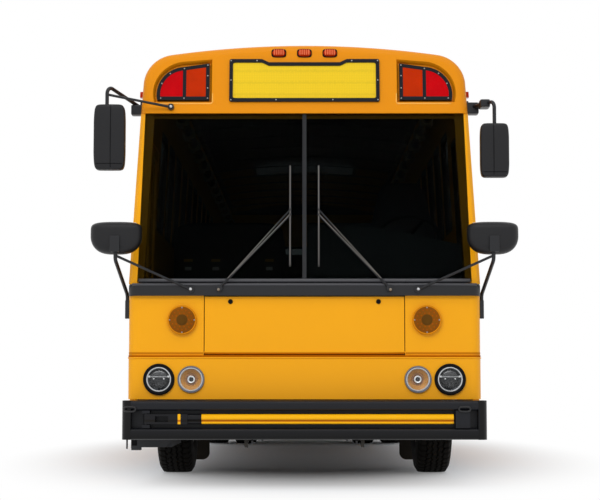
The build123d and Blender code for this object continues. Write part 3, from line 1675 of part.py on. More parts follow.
# Dashboard across the driver's half, falling away to the outside
dash_inner = 20
dash_outer = 1110
dash_top = 1860
dash_fall = 12  # degrees
with BuildPart() as dash:
    with BuildSketch(Plane.YZ.offset(dash_inner)):
        with BuildLine():
            FilletPolyline(
                (-5200, floor_top),
                (-5200, 1480),
                (-5130, dash_top),
                (-4830, dash_top - 20),
                (-4720, 1600),
                (-4800, floor_top),
                radius=[40, 70, 90, 60],
            )
            Line((-4800, floor_top), (-5200, floor_top))
        make_face()
    extrude(amount=dash_outer - dash_inner)
    fall = math.radians(dash_fall)
    split(
        bisect_by=Plane(origin=(330, 0, dash_top), z_dir=(math.sin(fall), 0, math.cos(fall))),
        keep=Keep.BOTTOM,
    )

# Steering wheel on its column
wheel_centre = Vector(770, -4560, 1800)
column_dir = Vector(0, 0.62, 0.78)
wheel_seat = Plane(origin=wheel_centre, z_dir=column_dir)
rim_section = Plane(origin=wheel_centre, x_dir=(1, 0, 0), z_dir=column_dir.cross(Vector(1, 0, 0)))
rim_radius = 225
rim_thickness = 15
wheel_hub = (48, 40)
spoke = (26, 12)
column = (32, 240)
with BuildPart() as steering_wheel:
    with BuildSketch(rim_section):
        with Locations((rim_radius, 0)):
            RegularPolygon(rim_thickness, 8)
    revolve(axis=Axis(wheel_centre, column_dir))
    with Locations(wheel_seat):
        Cylinder(*wheel_hub)
        with PolarLocations(0, 3, start_angle=90):
            Box(rim_radius, *spoke, align=(Align.MIN, Align.CENTER, Align.CENTER))
        Cylinder(*column, align=(Align.CENTER, Align.CENTER, Align.MAX))

# Seats: benches beside the aisle, a full-width rear bench and the driver's chair
row_pitch = 711
row_count = 10
first_row = -2570
bench_inner = 180
bench_outer = 1140
seat_high = 1540
seat_low = 1430
back_high = 2110
back_slope = 60
back_depth = 110
cushion_depth = 430
bench_legs = (250, 480)
skipped_row = 4  # kept clear beside the emergency door


def seat_profile(back, lift):
    # Side view of a bench: cushion and reclined back
    corners = [
        (back - cushion_depth, seat_low + lift),
        (back - cushion_depth, seat_high + lift),
        (back - 20, seat_high + lift - 20),
        (back + back_slope, back_high + lift),
        (back + back_slope + back_depth, back_high + lift),
        (back + back_depth, seat_low + lift),
    ]
    with BuildSketch(mode=Mode.PRIVATE) as profile:
        with BuildLine():
            FilletPolyline(*corners, radius=[30, 45, 30, 40, 40, 45], close=True)
        make_face()
    return profile.sketch


with BuildPart() as passenger_seats:
    for row in range(row_count):
        back = first_row + row * row_pitch
        for side in (1, -1):
            if side > 0 and row == skipped_row:
                continue
            with BuildSketch(Plane.YZ.offset(side * (bench_inner + bench_outer) / 2)):
                add(seat_profile(back, 0))
            extrude(amount=(bench_outer - bench_inner) / 2, both=True)
            for leg in bench_legs:
                block((side * leg, side * (leg + 30)), (back - 330, back - 60), (floor_top, seat_low + 20))
    rear_back = 5080
    rear_lift = platform_top - floor_top
    with BuildSketch(Plane.YZ):
        add(seat_profile(rear_back, rear_lift))
    extrude(amount=bench_outer - 40, both=True)
    for leg in (-800, -30, 770):
        block((leg, leg + 30), (rear_back - 330, rear_back - 60), (platform_top, seat_low + rear_lift + 20))

driver_x = 770
driver_half = 240
driver_back = -3860
with BuildPart() as driver_seat:
    with BuildSketch(Plane.YZ.offset(driver_x)):
        with BuildLine():
            FilletPolyline(
                (driver_back - 440, 1590),
                (driver_back - 440, 1700),
                (driver_back - 20, 1680),
                (driver_back + 80, 2306),
                (driver_back + 180, 2300),
                (driver_back + 100, 1590),
                radius=[35, 40, 30, 45, 45, 40],
                close=True,
            )
        make_face()
    extrude(amount=driver_half, both=True)
    block((driver_x - 130, driver_x + 130), (driver_back - 370, driver_back - 120), (floor_top, 1600))

# Tanks: fuel tank and battery box beside the rails on brackets, and two air tanks under the cross tubes
tank_gap = 40
tank_high = 860
tank_corner = 45
bracket_half = 30
bracket_z = (790, 840)
tank_table = (
    # side, outer x, start, end, low, bracket stations
    (-1, 1080, -1900, -450, 430, (-1700, -650)),
    (1, 1060, -1900, -1150, 480, (-1700, -1350)),
)
air_tank_x = 130
air_tank_z = 715
air_tank_radius = 100
air_tank_ends = (-2600, -900)
with BuildPart() as tanks:
    for side, outer, start, end, low, stations in tank_table:
        block((side * (rail_x + tank_gap), side * outer), (start, end), (low, tank_high))
    fillet(tanks.edges().filter_by(Axis.Y), tank_corner)
    for side, outer, start, end, low, stations in tank_table:
        for station in stations:
            reach = (side * rail_x, side * (rail_x + 1.5 * tank_gap))
            block(reach, (station - bracket_half, station + bracket_half), bracket_z)
    for x in (-air_tank_x, air_tank_x):
        rod((x, air_tank_ends[0], air_tank_z), (x, air_tank_ends[1], air_tank_z), air_tank_radius)

# Silencer and tail pipe beside the engine
silencer_x = 690
silencer_z = 740
silencer_radius = 125
pipe_radius = 52
silencer_ends = (3780, 4680)
tail_end = 5180
inlet = (4250, 700)
strap = ((3900, 3960), (820, 860))
with BuildPart() as exhaust:
    rod((silencer_x, silencer_ends[0], silencer_z), (silencer_x, silencer_ends[1], silencer_z), silencer_radius)
    rod((silencer_x, silencer_ends[1] - 10, silencer_z), (silencer_x, tail_end, silencer_z), pipe_radius)
    rod((engine_half + 1, *inlet), (silencer_x - 90, *inlet), pipe_radius)
    block((rail_x, silencer_x - 90), *strap)

# Mud flaps behind the front and the rear wheels
flap_sheet = 8
flap_table = (
    # station, inner x, low edge
    (front_axle_y + 670, 806, 68),
    (rear_axle_y + 650, 545, 120),
)
with BuildPart() as mud_flaps:
    for station, inner, low in flap_table:
        with BuildSketch(cross_plane(station)):
            with Locations(((inner + floor_half - 10) / 2, (low + floor_bottom) / 2)):
                Rectangle(floor_half - 10 - inner, floor_bottom - low)
            mirror(about=Plane.YZ)
        extrude(amount=-flap_sheet)
    fillet([edge for edge in mud_flaps.edges().filter_by(Axis.Y) if edge.center().Z < 200], 60)


os.makedirs("parts", exist_ok=True)
pieces = {
    "wall_left": wall_left,
    "wall_right": wall_right,
    "roof": roof.part,
    "roof_hatch_front": roof_hatch_front,
    "roof_hatch_rear": roof_hatch_rear,
    "front_cap": front_cap.part,
    "lamp_panel": lamp_panel.part,
    "front_shell": front_shell.part,
    "front_access_panel": front_access_panel.part,
    "cowl": cowl.part,
    "windshield": windshield.part,
    "rear_wall": rear_wall.part,
    "engine_door": engine_door.part,
    "window_frames": window_frames.part,
    "window_glass": window_glass.part,
    "entrance_front_leaf": entrance_front_leaf,
    "entrance_front_glass": entrance_front_glass,
    "entrance_rear_leaf": entrance_rear_leaf,
    "entrance_rear_glass": entrance_rear_glass,
    "emergency_door": emergency_door.part,
    "emergency_glass": emergency_glass.part,
    "floor": floor,
    "chassis_frame": chassis_frame,
    "suspension": suspension.part,
    "front_axle": front_axle.part,
    "knuckle_left": knuckle_left.part,
    "knuckle_right": knuckle_right.part,
    "tie_rod": tie_rod.part,
    "rear_axle": rear_axle.part,
    "engine": engine.part,
    "front_left_tyre": front_left_tyre.part,
    "front_left_wheel": front_left_wheel.part,
    "front_right_tyre": front_right_tyre.part,
    "front_right_wheel": front_right_wheel.part,
    "rear_left_tyres": rear_left_tyres.part,
    "rear_left_wheels": rear_left_wheels.part,
    "rear_right_tyres": rear_right_tyres.part,
    "rear_right_wheels": rear_right_wheels.part,
    "front_bumper": front_bumper.part,
    "crossing_gate": crossing_gate.part,
    "rear_bumper": rear_bumper.part,
    "side_trim": side_trim.part,
    "stop_arm": stop_arm.part,
    "lamp_frames": lamp_frames.part,
    "sign_boards": sign_boards.part,
    "headlamps": headlamps.part,
    "amber_lamps": amber_lamps.part,
    "red_lamps": red_lamps.part,
    "wipers": wipers.part,
    "mirror_heads": mirror_heads.part,
    "mirror_glass": mirror_glass.part,
    "mirror_arms": mirror_arms.part,
    "dash": dash.part,
    "steering_wheel": steering_wheel.part,
    "passenger_seats": passenger_seats.part,
    "driver_seat": driver_seat.part,
    "tanks": tanks.part,
    "exhaust": exhaust.part,
    "mud_flaps": mud_flaps.part,
}
for name, piece in pieces.items():
    piece.label = name
    export_step(piece, f"parts/{name}.step")
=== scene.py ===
import math
import bpy
import numpy as np
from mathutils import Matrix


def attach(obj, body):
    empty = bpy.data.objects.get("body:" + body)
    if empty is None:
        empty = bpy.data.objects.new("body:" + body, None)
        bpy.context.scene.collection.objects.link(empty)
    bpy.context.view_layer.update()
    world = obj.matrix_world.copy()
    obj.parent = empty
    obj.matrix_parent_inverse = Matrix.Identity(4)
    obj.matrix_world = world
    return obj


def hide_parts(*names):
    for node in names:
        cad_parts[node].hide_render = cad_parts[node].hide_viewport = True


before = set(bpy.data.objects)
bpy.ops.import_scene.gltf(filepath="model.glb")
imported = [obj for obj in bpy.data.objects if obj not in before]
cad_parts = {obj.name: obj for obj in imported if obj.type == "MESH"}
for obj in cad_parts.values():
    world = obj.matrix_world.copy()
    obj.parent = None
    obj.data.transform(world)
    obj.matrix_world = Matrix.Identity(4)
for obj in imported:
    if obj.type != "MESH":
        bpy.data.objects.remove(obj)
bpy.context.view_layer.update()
finish = {}
print("frame loaded with", len(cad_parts), "nodes")


# Mesh helpers: a shape is an array of points and an array of quads

def gridFaces(rows, columns, closeRows=False, closeColumns=False):
    # quads between neighbours of a rows x columns grid, wrapped where a direction is closed
    i, j = np.meshgrid(np.arange(rows if closeRows else rows - 1),
                       np.arange(columns if closeColumns else columns - 1), indexing="ij")
    down, right = (i + 1) % rows, (j + 1) % columns
    quads = [i * columns + j, i * columns + right, down * columns + right, down * columns + j]
    return np.stack(quads, axis=-1).reshape(-1, 4)


def pathOf(x, y, z):
    # points from three coordinates, each a number or an array
    return np.stack(np.broadcast_arrays(*(np.asarray(c, float) for c in (x, y, z))), axis=-1)


def joinShapes(shapes):
    # one array of points and one of quads from a list of shapes
    starts = np.cumsum([0] + [len(points) for points, quads in shapes[:-1]])
    return (np.concatenate([points for points, quads in shapes]),
            np.concatenate([quads + start for (points, quads), start in zip(shapes, starts)]))


def repeatShape(shape, places):
    # copies of one small shape moved to every place
    points, quads = shape
    places = np.asarray(places, float).reshape(-1, 3)
    moved = (places[:, None, :] + points[None, :, :]).reshape(-1, 3)
    steps = np.arange(len(places))[:, None, None] * len(points)
    return moved, (quads[None, :, :] + steps).reshape(-1, 4)


def mirrored(shape):
    # the other side's copy, with its faces turned the right way
    points, quads = shape
    return points * np.array([-1.0, 1.0, 1.0]), quads[:, ::-1]


def bothSides(shape):
    return joinShapes([shape, mirrored(shape)])


def tipped(shape, angle):
    # shape turned about the x axis through the origin
    points, quads = shape
    c, s = math.cos(angle), math.sin(angle)
    return points @ np.array([[1, 0, 0], [0, c, s], [0, -s, c]]), quads


def addPiece(name, shape, coat, body="body", smooth=True):
    # a mesh object from a shape, with a named finish, that rides on a body of the frame
    points, quads = shape
    mesh = bpy.data.meshes.new(name)
    mesh.from_pydata(points.tolist(), [], quads.tolist())
    mesh.polygons.foreach_set("use_smooth", np.full(len(quads), smooth))
    mesh.materials.append(finish[coat])
    mesh.validate()
    mesh.update()
    piece = bpy.data.objects.new(name, mesh)
    bpy.context.scene.collection.objects.link(piece)
    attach(piece, body)
    return piece


def bevel(piece, width):
    edge = piece.modifiers.new("edge", "BEVEL")
    edge.width = width
    edge.segments = 2
    edge.limit_method = "ANGLE"


def spun(profile, sides, origin, axis):
    # profile of (along, radius) turned round an axis through origin: along runs with the axis
    along, radius = np.asarray(profile, float).T
    turn = np.linspace(0, 2 * np.pi, sides, endpoint=False)
    a = np.asarray(axis, float)
    u = np.cross([0.0, 0.0, 1.0] if abs(a[2]) < 0.9 else [1.0, 0.0, 0.0], a)
    u /= np.linalg.norm(u)
    ring = np.cos(turn)[:, None] * u + np.sin(turn)[:, None] * np.cross(a, u)
    points = np.asarray(origin) + along[None, :, None] * a + radius[None, :, None] * ring[:, None, :]
    return points.reshape(-1, 3), gridFaces(sides, len(along), closeRows=True)


def tube(path, radius, sides=12, closed=False):
    # circle of that radius carried along a path of points, drawn in to a point at open ends
    path = np.asarray(path, float)
    ahead = np.roll(path, -1, axis=0) - np.roll(path, 1, axis=0) if closed else np.gradient(path, axis=0)
    ahead /= np.linalg.norm(ahead, axis=1, keepdims=True)
    guide = np.where(np.abs(ahead[:, 2:3]) < 0.8, [[0.0, 0.0, 1.0]], [[0.0, 1.0, 0.0]])
    u = np.cross(guide, ahead)
    u /= np.linalg.norm(u, axis=1, keepdims=True)
    v = np.cross(ahead, u)
    turn = np.linspace(0, 2 * np.pi, sides, endpoint=False)[None, :, None]
    width = np.broadcast_to(np.asarray(radius, float), (len(path),))
    ring = np.cos(turn) * u[:, None, :] + np.sin(turn) * v[:, None, :]
    points = path[:, None, :] + width[:, None, None] * ring
    if not closed:
        first, last = (end[:, None, :].repeat(sides, 1) for end in (path[:1], path[-1:]))
        points = np.concatenate([first, points, last])
    return points.reshape(-1, 3), gridFaces(len(points), sides, closeRows=closed, closeColumns=True)


def signedPower(value, power):
    return np.sign(value) * np.abs(value) ** power


def roundedBlock(centre, half, softness, rows=20, columns=40):
    # superellipsoid: softness 1 is an ellipsoid and near 0 a box with rounded edges
    rise = np.linspace(-np.pi / 2, np.pi / 2, rows)[:, None]
    turn = np.linspace(-np.pi, np.pi, columns, endpoint=False)[None, :]
    belt = signedPower(np.cos(rise), softness)
    x = half[0] * belt * signedPower(np.cos(turn), softness)
    y = half[1] * belt * signedPower(np.sin(turn), softness)
    z = half[2] * signedPower(np.sin(rise), softness)
    points = pathOf(x, y, z).reshape(-1, 3) + np.asarray(centre, float)
    return points, gridFaces(rows, columns, closeColumns=True)


def boxShape(low, high):
    # plain box with six quads, for strips and brackets
    low, high = np.asarray(low, float), np.asarray(high, float)
    corner = np.array([[0, 0, 0], [1, 0, 0], [1, 1, 0], [0, 1, 0],
                       [0, 0, 1], [1, 0, 1], [1, 1, 1], [0, 1, 1]])
    quads = np.array([[0, 3, 2, 1], [4, 5, 6, 7], [0, 1, 5, 4], [1, 2, 6, 5], [2, 3, 7, 6], [3, 0, 4, 7]])
    return low + corner * (high - low), quads


# Node helpers: an input is set, or linked where its value is another node's output

def tone(red, green, blue):
    # linear colour from display values
    c = np.array([red, green, blue]) / 255
    linear = np.where(c <= 0.04045, c / 12.92, ((c + 0.055) / 1.055) ** 2.4)
    return (*linear.tolist(), 1.0)


def dimmed(colour, share):
    return tuple(min(1.0, share * c) for c in colour[:3]) + (1.0,)


def plug(tree, node, inputs):
    for key, value in inputs.items():
        if isinstance(value, bpy.types.NodeSocket):
            tree.links.new(value, node.inputs[key])
        else:
            node.inputs[key].default_value = value
    return node


def setInputs(tree, node, **inputs):
    return plug(tree, node, {name.replace("_", " "): value for name, value in inputs.items()})


def addNode(tree, kind, **inputs):
    return setInputs(tree, tree.nodes.new("ShaderNode" + kind), **inputs)


def mathStep(tree, operation, *values, clamp=False):
    node = plug(tree, tree.nodes.new("ShaderNodeMath"), dict(enumerate(values)))
    node.operation = operation
    node.use_clamp = clamp
    return node.outputs[0]


def vectorStep(tree, operation, inputs):
    node = tree.nodes.new("ShaderNodeVectorMath")
    node.operation = operation
    return plug(tree, node, inputs).outputs


def mixColours(tree, share, first, second, blend="MIX"):
    node = tree.nodes.new("ShaderNodeMix")
    node.data_type = "RGBA"
    node.blend_type = blend
    return plug(tree, node, {0: share, 6: first, 7: second}).outputs[2]


def mixShaders(tree, share, first, second, end):
    node = plug(tree, tree.nodes.new("ShaderNodeMixShader"), {0: share, 1: first, 2: second})
    tree.links.new(node.outputs[0], tree.nodes[end].inputs["Surface"])


def colourRamp(tree, value, marks):
    # colours at rising positions along a value
    node = addNode(tree, "ValToRGB", Fac=value)
    for position, colour in marks[2:]:
        node.color_ramp.elements.new(position)
    for element, (position, colour) in zip(node.color_ramp.elements, marks):
        element.position = position
        element.color = colour
    return node


def objectPlace(tree):
    return tree.nodes.new("ShaderNodeTexCoord").outputs["Object"]


def objectAxes(tree):
    return addNode(tree, "SeparateXYZ", Vector=objectPlace(tree)).outputs


def newMaterial(name):
    material = finish[name] = bpy.data.materials.new(name)
    material.use_nodes = True
    return material.node_tree, material.node_tree.nodes["Principled BSDF"]


# Finishes
wear = dict(patch=2.2, dustTop=1.1, unevenGloss=0.16, dustGloss=0.35, dustColour=(150, 135, 112),
            grainDepth=0.002, coatRoughness=0.06)


def wearGroup():
    # shared finish: mottled colour, dust that gathers low down, uneven gloss and a fine grain
    tree = bpy.data.node_groups.new("roadWear", "ShaderNodeTree")
    for way, kind, names in (("INPUT", "Color", ("Colour", "Dust Colour")),
                             ("INPUT", "Float", ("Mottle", "Dust", "Roughness", "Grain Scale")),
                             ("OUTPUT", "Color", ("Colour",)), ("OUTPUT", "Float", ("Roughness", "Height"))):
        for name in names:
            tree.interface.new_socket(name, in_out=way, socket_type="NodeSocket" + kind)
    start = tree.nodes.new("NodeGroupInput").outputs
    place = objectPlace(tree)
    broad = addNode(tree, "TexNoise", Vector=place, Scale=wear["patch"], Detail=5.0, Roughness=0.6)
    broad = broad.outputs["Fac"]
    fine = addNode(tree, "TexNoise", Vector=place, Scale=start["Grain Scale"], Detail=3.0, Roughness=0.55)
    spread = mathStep(tree, "SUBTRACT", broad, 0.5)
    shade = mathStep(tree, "ADD", mathStep(tree, "MULTIPLY", spread, start["Mottle"]), 1.0)
    dull = vectorStep(tree, "SCALE", {0: start["Colour"], "Scale": shade})["Vector"]
    rise = mathStep(tree, "DIVIDE", addNode(tree, "SeparateXYZ", Vector=place).outputs["Z"], wear["dustTop"])
    low = mathStep(tree, "MULTIPLY", mathStep(tree, "SUBTRACT", 1.0, rise, clamp=True), broad)
    dusty = mathStep(tree, "MULTIPLY", low, start["Dust"], clamp=True)
    uneven = mathStep(tree, "MULTIPLY", spread, wear["unevenGloss"])
    duller = mathStep(tree, "MULTIPLY", dusty, wear["dustGloss"])
    rough = mathStep(tree, "ADD", mathStep(tree, "ADD", start["Roughness"], uneven), duller, clamp=True)
    colour = mixColours(tree, dusty, dull, start["Dust Colour"])
    end = tree.nodes.new("NodeGroupOutput")
    setInputs(tree, end, Colour=colour, Roughness=rough, Height=fine.outputs["Fac"])
    return tree


roadWear = wearGroup()


def wornFinish(name, colour, rough, mottle, grain, bump, metallic=0.0, coat=0.0, dust=0.0, specular=0.5):
    # Principled shader fed by the shared wear group
    tree, shader = newMaterial(name)
    worn = tree.nodes.new("ShaderNodeGroup")
    worn.node_tree = roadWear
    setInputs(tree, worn, Colour=tone(*colour), Dust_Colour=tone(*wear["dustColour"]), Mottle=mottle,
              Dust=dust, Roughness=rough, Grain_Scale=grain)
    raised = addNode(tree, "Bump", Strength=bump, Distance=wear["grainDepth"], Height=worn.outputs["Height"])
    setInputs(tree, shader, Base_Color=worn.outputs["Colour"], Roughness=worn.outputs["Roughness"],
              Normal=raised.outputs["Normal"], Metallic=metallic, Coat_Weight=coat,
              Coat_Roughness=wear["coatRoughness"], Specular_IOR_Level=specular)
    return tree, shader, worn


def glassFinish(name, tint, index):
    # tinted pane; light for shadows passes straight through it
    tree, shader = newMaterial(name)
    setInputs(tree, shader, Base_Color=(*tint, 1.0), Roughness=0.0, IOR=index, Transmission_Weight=1.0)
    clear = addNode(tree, "BsdfTransparent", Color=(*tint, 1.0))
    light = tree.nodes.new("ShaderNodeLightPath")
    mixShaders(tree, light.outputs["Is Shadow Ray"], shader.outputs[0], clear.outputs[0], "Material Output")


def lensFinish(name, colour, cell, depth):
    # moulded lens: small prisms in rows under a glossy face
    tree, shader = newMaterial(name)
    place = objectPlace(tree)
    cells = addNode(tree, "TexVoronoi", Vector=place, Scale=1 / cell, Randomness=0.0)
    cells.distance = "CHEBYCHEV"
    cloud = addNode(tree, "TexNoise", Vector=place, Scale=9.0, Detail=2.0)
    plain = tone(*colour)
    shade = colourRamp(tree, cloud.outputs["Fac"], ((0.0, dimmed(plain, 0.72)), (1.0, dimmed(plain, 1.12))))
    raised = addNode(tree, "Bump", Strength=depth, Distance=0.003, Height=cells.outputs["Distance"])
    setInputs(tree, shader, Base_Color=shade.outputs["Color"], Normal=raised.outputs["Normal"], Roughness=0.2,
              Specular_IOR_Level=0.05, Coat_Weight=0.02, Coat_Roughness=0.05)


wornTable = {
    # display colour, roughness, mottle, grain, bump, and what differs from a plain clean surface
    "busYellow": ((248, 170, 14), 0.36, 0.05, 420, 0.012, dict(coat=0.08, dust=0.04, specular=0.16)),
    "capYellow": ((226, 140, 10), 0.42, 0.06, 300, 0.02, dict(coat=0.04, specular=0.14)),
    # paler than the cap's yellow: painted highlight on the pocket lips, with a real glossy coat
    "lipHighlightYellow": ((246, 176, 60), 0.2, 0.05, 300, 0.01, dict(coat=0.6)),
    # darker yellow: painted shade on the crease's rolled edge and side bands
    "paintedShadeYellow": ((206, 128, 14), 0.5, 0.05, 420, 0.012, dict(specular=0.05)),
    # dark brown: painted shade for the seam between the panels
    "seamShadeBrown": ((178, 94, 2), 0.6, 0.05, 420, 0.012, dict(specular=0.02)),
    "satinBlack": ((20, 21, 25), 0.3, 0.25, 260, 0.03, dict(coat=0.1, dust=0.05, specular=0.35)),
    "mouldedBlack": ((19, 20, 24), 0.36, 0.18, 900, 0.06, dict(specular=0.4)),
    "trimNavy": ((11, 15, 23), 0.34, 0.18, 900, 0.05, dict(specular=0.2)),
    "bezelBlack": ((6, 6, 9), 0.3, 0.18, 900, 0.02, dict(specular=0.1)),
    "mirrorGrey": ((26, 26, 28), 0.42, 0.12, 900, 0.07, dict(specular=0.28)),
    # grey lighter than the black cowl: painted highlight along the gasket and bead
    "sealHighlightGrey": ((66, 66, 70), 0.3, 0.1, 700, 0.02, {}),
    # light grey: painted highlights on the wiper blades and arms
    "wiperHighlightSteel": ((132, 126, 120), 0.35, 0.2, 300, 0.05, dict(metallic=0.4)),
    "frameBlack": ((17, 17, 18), 0.55, 0.4, 120, 0.08, dict(dust=0.25, specular=0.3)),
    "floorRubber": ((36, 37, 40), 0.7, 0.3, 300, 0.1, {}),
    "castBlock": ((58, 60, 60), 0.68, 0.4, 150, 0.2, dict(metallic=0.4, dust=0.5)),
    "tyreRubber": ((11, 11, 12), 0.76, 0.3, 700, 0.1, dict(dust=0.05, specular=0.1)),
    "rimPaint": ((38, 38, 40), 0.45, 0.3, 200, 0.04, dict(coat=0.1, dust=0.5)),
    "hatchWhite": ((222, 221, 214), 0.45, 0.08, 400, 0.04, {}),
    "stopRed": ((186, 12, 22), 0.35, 0.06, 500, 0.01, dict(coat=0.2)),
    "stopWhite": ((235, 235, 230), 0.4, 0.05, 500, 0.01, {}),
    "dashGrey": ((18, 32, 37), 0.6, 0.12, 650, 0.12, {}),
    "seatVinyl": ((38, 50, 58), 0.48, 0.16, 380, 0.12, {}),
    "beltGrey": ((52, 54, 58), 0.6, 0.1, 900, 0.15, {}),
    "tagYellow": ((206, 160, 40), 0.5, 0.1, 300, 0.02, {}),
    # pale paint on the cove ribs: painted highlight on the dark cove
    "ribHighlightPaint": ((196, 184, 150), 0.4, 0.06, 420, 0.03, {}),
    "linerPaint": ((60, 76, 80), 0.24, 0.08, 420, 0.03, dict(coat=0.8)),
    "clipWhite": ((250, 250, 244), 0.14, 0.04, 420, 0.01, dict(metallic=1.0)),
    "tankPaint": ((46, 47, 50), 0.5, 0.35, 160, 0.06, dict(dust=0.6)),
    "pipeSteel": ((140, 130, 118), 0.5, 0.4, 90, 0.06, dict(metallic=0.85, dust=0.3)),
    "flapRubber": ((18, 18, 19), 0.75, 0.25, 260, 0.08, dict(dust=0.2, specular=0.2)),
    "boltSteel": ((168, 168, 165), 0.35, 0.2, 500, 0.02, dict(metallic=0.9, dust=0.1)),
    "bowlDark": ((46, 48, 52), 0.34, 0.2, 500, 0.02, dict(metallic=0.5)),
    "bowlAmber": ((158, 108, 40), 0.5, 0.3, 200, 0.05, dict(metallic=0.1)),
    "cupBrown": ((132, 92, 58), 0.35, 0.3, 200, 0.05, dict(metallic=0.3)),
    "rimGrey": ((120, 121, 130), 0.22, 0.15, 500, 0.01, dict(metallic=0.8)),
    "lensBlack": ((30, 31, 34), 0.2, 0.1, 500, 0.0, dict(coat=0.4)),
    "satinSilver": ((206, 207, 208), 0.3, 0.06, 500, 0.01, dict(metallic=0.7)),
}
lensTable = {
    # display colour, width of a prism, depth of the prisms
    "redLens": ((197, 0, 10), 0.006, 0.08),
    "amberLens": ((191, 45, 0), 0.006, 0.08),
    "ribLens": ((228, 112, 72), 0.02, 0.02),
    "turnLens": ((140, 80, 10), 0.007, 0.3),
    "turnSpot": ((172, 84, 2), 0.007, 0.1),
    "turnCore": ((98, 63, 14), 0.007, 0.3),
    "turnRim": ((226, 140, 16), 0.02, 0.02),
}
glassTable = {
    # linear tint, refractive index
    "windscreenTint": ((0.175, 0.19, 0.185), 1.055),
    "windowTint": ((0.058, 0.068, 0.07), 1.4),
    "clearCover": ((0.93, 0.94, 0.94), 1.38),
}
for name, (colour, rough, mottle, grain, bump, more) in wornTable.items():
    wornFinish(name, colour, rough, mottle, grain, bump, **more)
for name, row in lensTable.items():
    lensFinish(name, *row)
for name, row in glassTable.items():
    glassFinish(name, *row)


def reflectiveFinish(name, colour, cell):
    # retroreflective sheet: faint cells in a glossy film
    tree, shader = newMaterial(name)
    cells = addNode(tree, "TexVoronoi", Vector=objectPlace(tree), Scale=1 / cell, Randomness=0.15)
    cells.feature = "DISTANCE_TO_EDGE"
    plain = tone(*colour)
    shade = colourRamp(tree, cells.outputs["Distance"], ((0.0, dimmed(plain, 0.86)), (0.18, plain)))
    setInputs(tree, shader, Base_Color=shade.outputs["Color"], Roughness=0.3,
              Specular_IOR_Level=0.2, Coat_Weight=0.08)


def mirrorFinish(name, silver, gloss):
    # silvered glass with faint smears
    tree, shader = newMaterial(name)
    smear = addNode(tree, "TexNoise", Vector=objectPlace(tree), Scale=7.0, Detail=4.0)
    rough = addNode(tree, "MapRange", Value=smear.outputs["Fac"], To_Min=gloss[0], To_Max=gloss[1])
    setInputs(tree, shader, Base_Color=(*silver, 1.0), Metallic=1.0, Roughness=rough.outputs["Result"])


def bumperFinish(name, rail, cap, capStart, paintedShade):
    # black rails with duller end caps, told apart by distance from the middle, and painted shade towards the
    # bottom
    tree, shader, worn = wornFinish(name, rail, 0.34, 0.25, 260, 0.03, specular=0.22)
    axes = objectAxes(tree)
    past = mathStep(tree, "GREATER_THAN", mathStep(tree, "ABSOLUTE", axes["X"]), capStart)
    colour = mixColours(tree, past, worn.outputs["Colour"], tone(*cap))
    # painted shade: below these heights the colour fades to near black, standing in for the shade under the
    # rails
    rise = addNode(tree, "MapRange", Value=axes["Z"], From_Min=paintedShade[0], From_Max=paintedShade[1])
    setInputs(tree, shader, Base_Color=mixColours(tree, rise.outputs["Result"], tone(1, 1, 2), colour))


def gateFinish(name, reach, collar, sleeveEnd, groove, paintedShadeTint):
    # yellow tubes with a black bracket and sleeve at the hinge end, by place along x, and painted shade
    # between them
    tree, shader = newMaterial(name)
    axes = objectAxes(tree)
    along = addNode(tree, "MapRange", Value=axes["X"], From_Min=-reach, From_Max=reach)
    yellow, black = tone(255, 186, 6), tone(20, 20, 23)
    marks = [(0.0, black)]
    marks += [((x + reach) / (2 * reach), colour)
              for x, colour in ((collar[0], yellow), (collar[1], black), (sleeveEnd, yellow))]
    bands = colourRamp(tree, along.outputs["Result"], marks)
    bands.color_ramp.interpolation = "CONSTANT"
    height, shadeStart, shadeFull = groove
    # painted shade: the tubes darken near the groove, standing in for the shade the upper tube casts on the
    # lower
    away = mathStep(tree, "ABSOLUTE", mathStep(tree, "SUBTRACT", axes["Z"], height))
    paintedShade = addNode(tree, "MapRange", Value=away, From_Min=shadeStart, From_Max=shadeFull)
    colour = mixColours(tree, paintedShade.outputs["Result"], bands.outputs["Color"], (*paintedShadeTint, 1.0), "MULTIPLY")
    setInputs(tree, shader, Base_Color=colour, Roughness=0.3, Specular_IOR_Level=0.16, Coat_Weight=0.06)


reflectiveFinish("signYellow", (236, 198, 26), 0.012)
mirrorFinish("mirrorSilver", (0.86, 0.88, 0.88), (0.02, 0.07))
# the last pair gives the heights over which the painted shade fades out
bumperFinish("bumperBlack", (23, 24, 29), (5, 5, 7), 1.1695, (0.36, 0.45))
# the groove: its height, where its painted shade starts and where it is full; then the shade's tint
gateFinish("gateYellow", 1.2, (-0.862, -0.842), -0.694, (0.4675, 0.0095, 0.0045), (0.52, 0.3, 0.1))

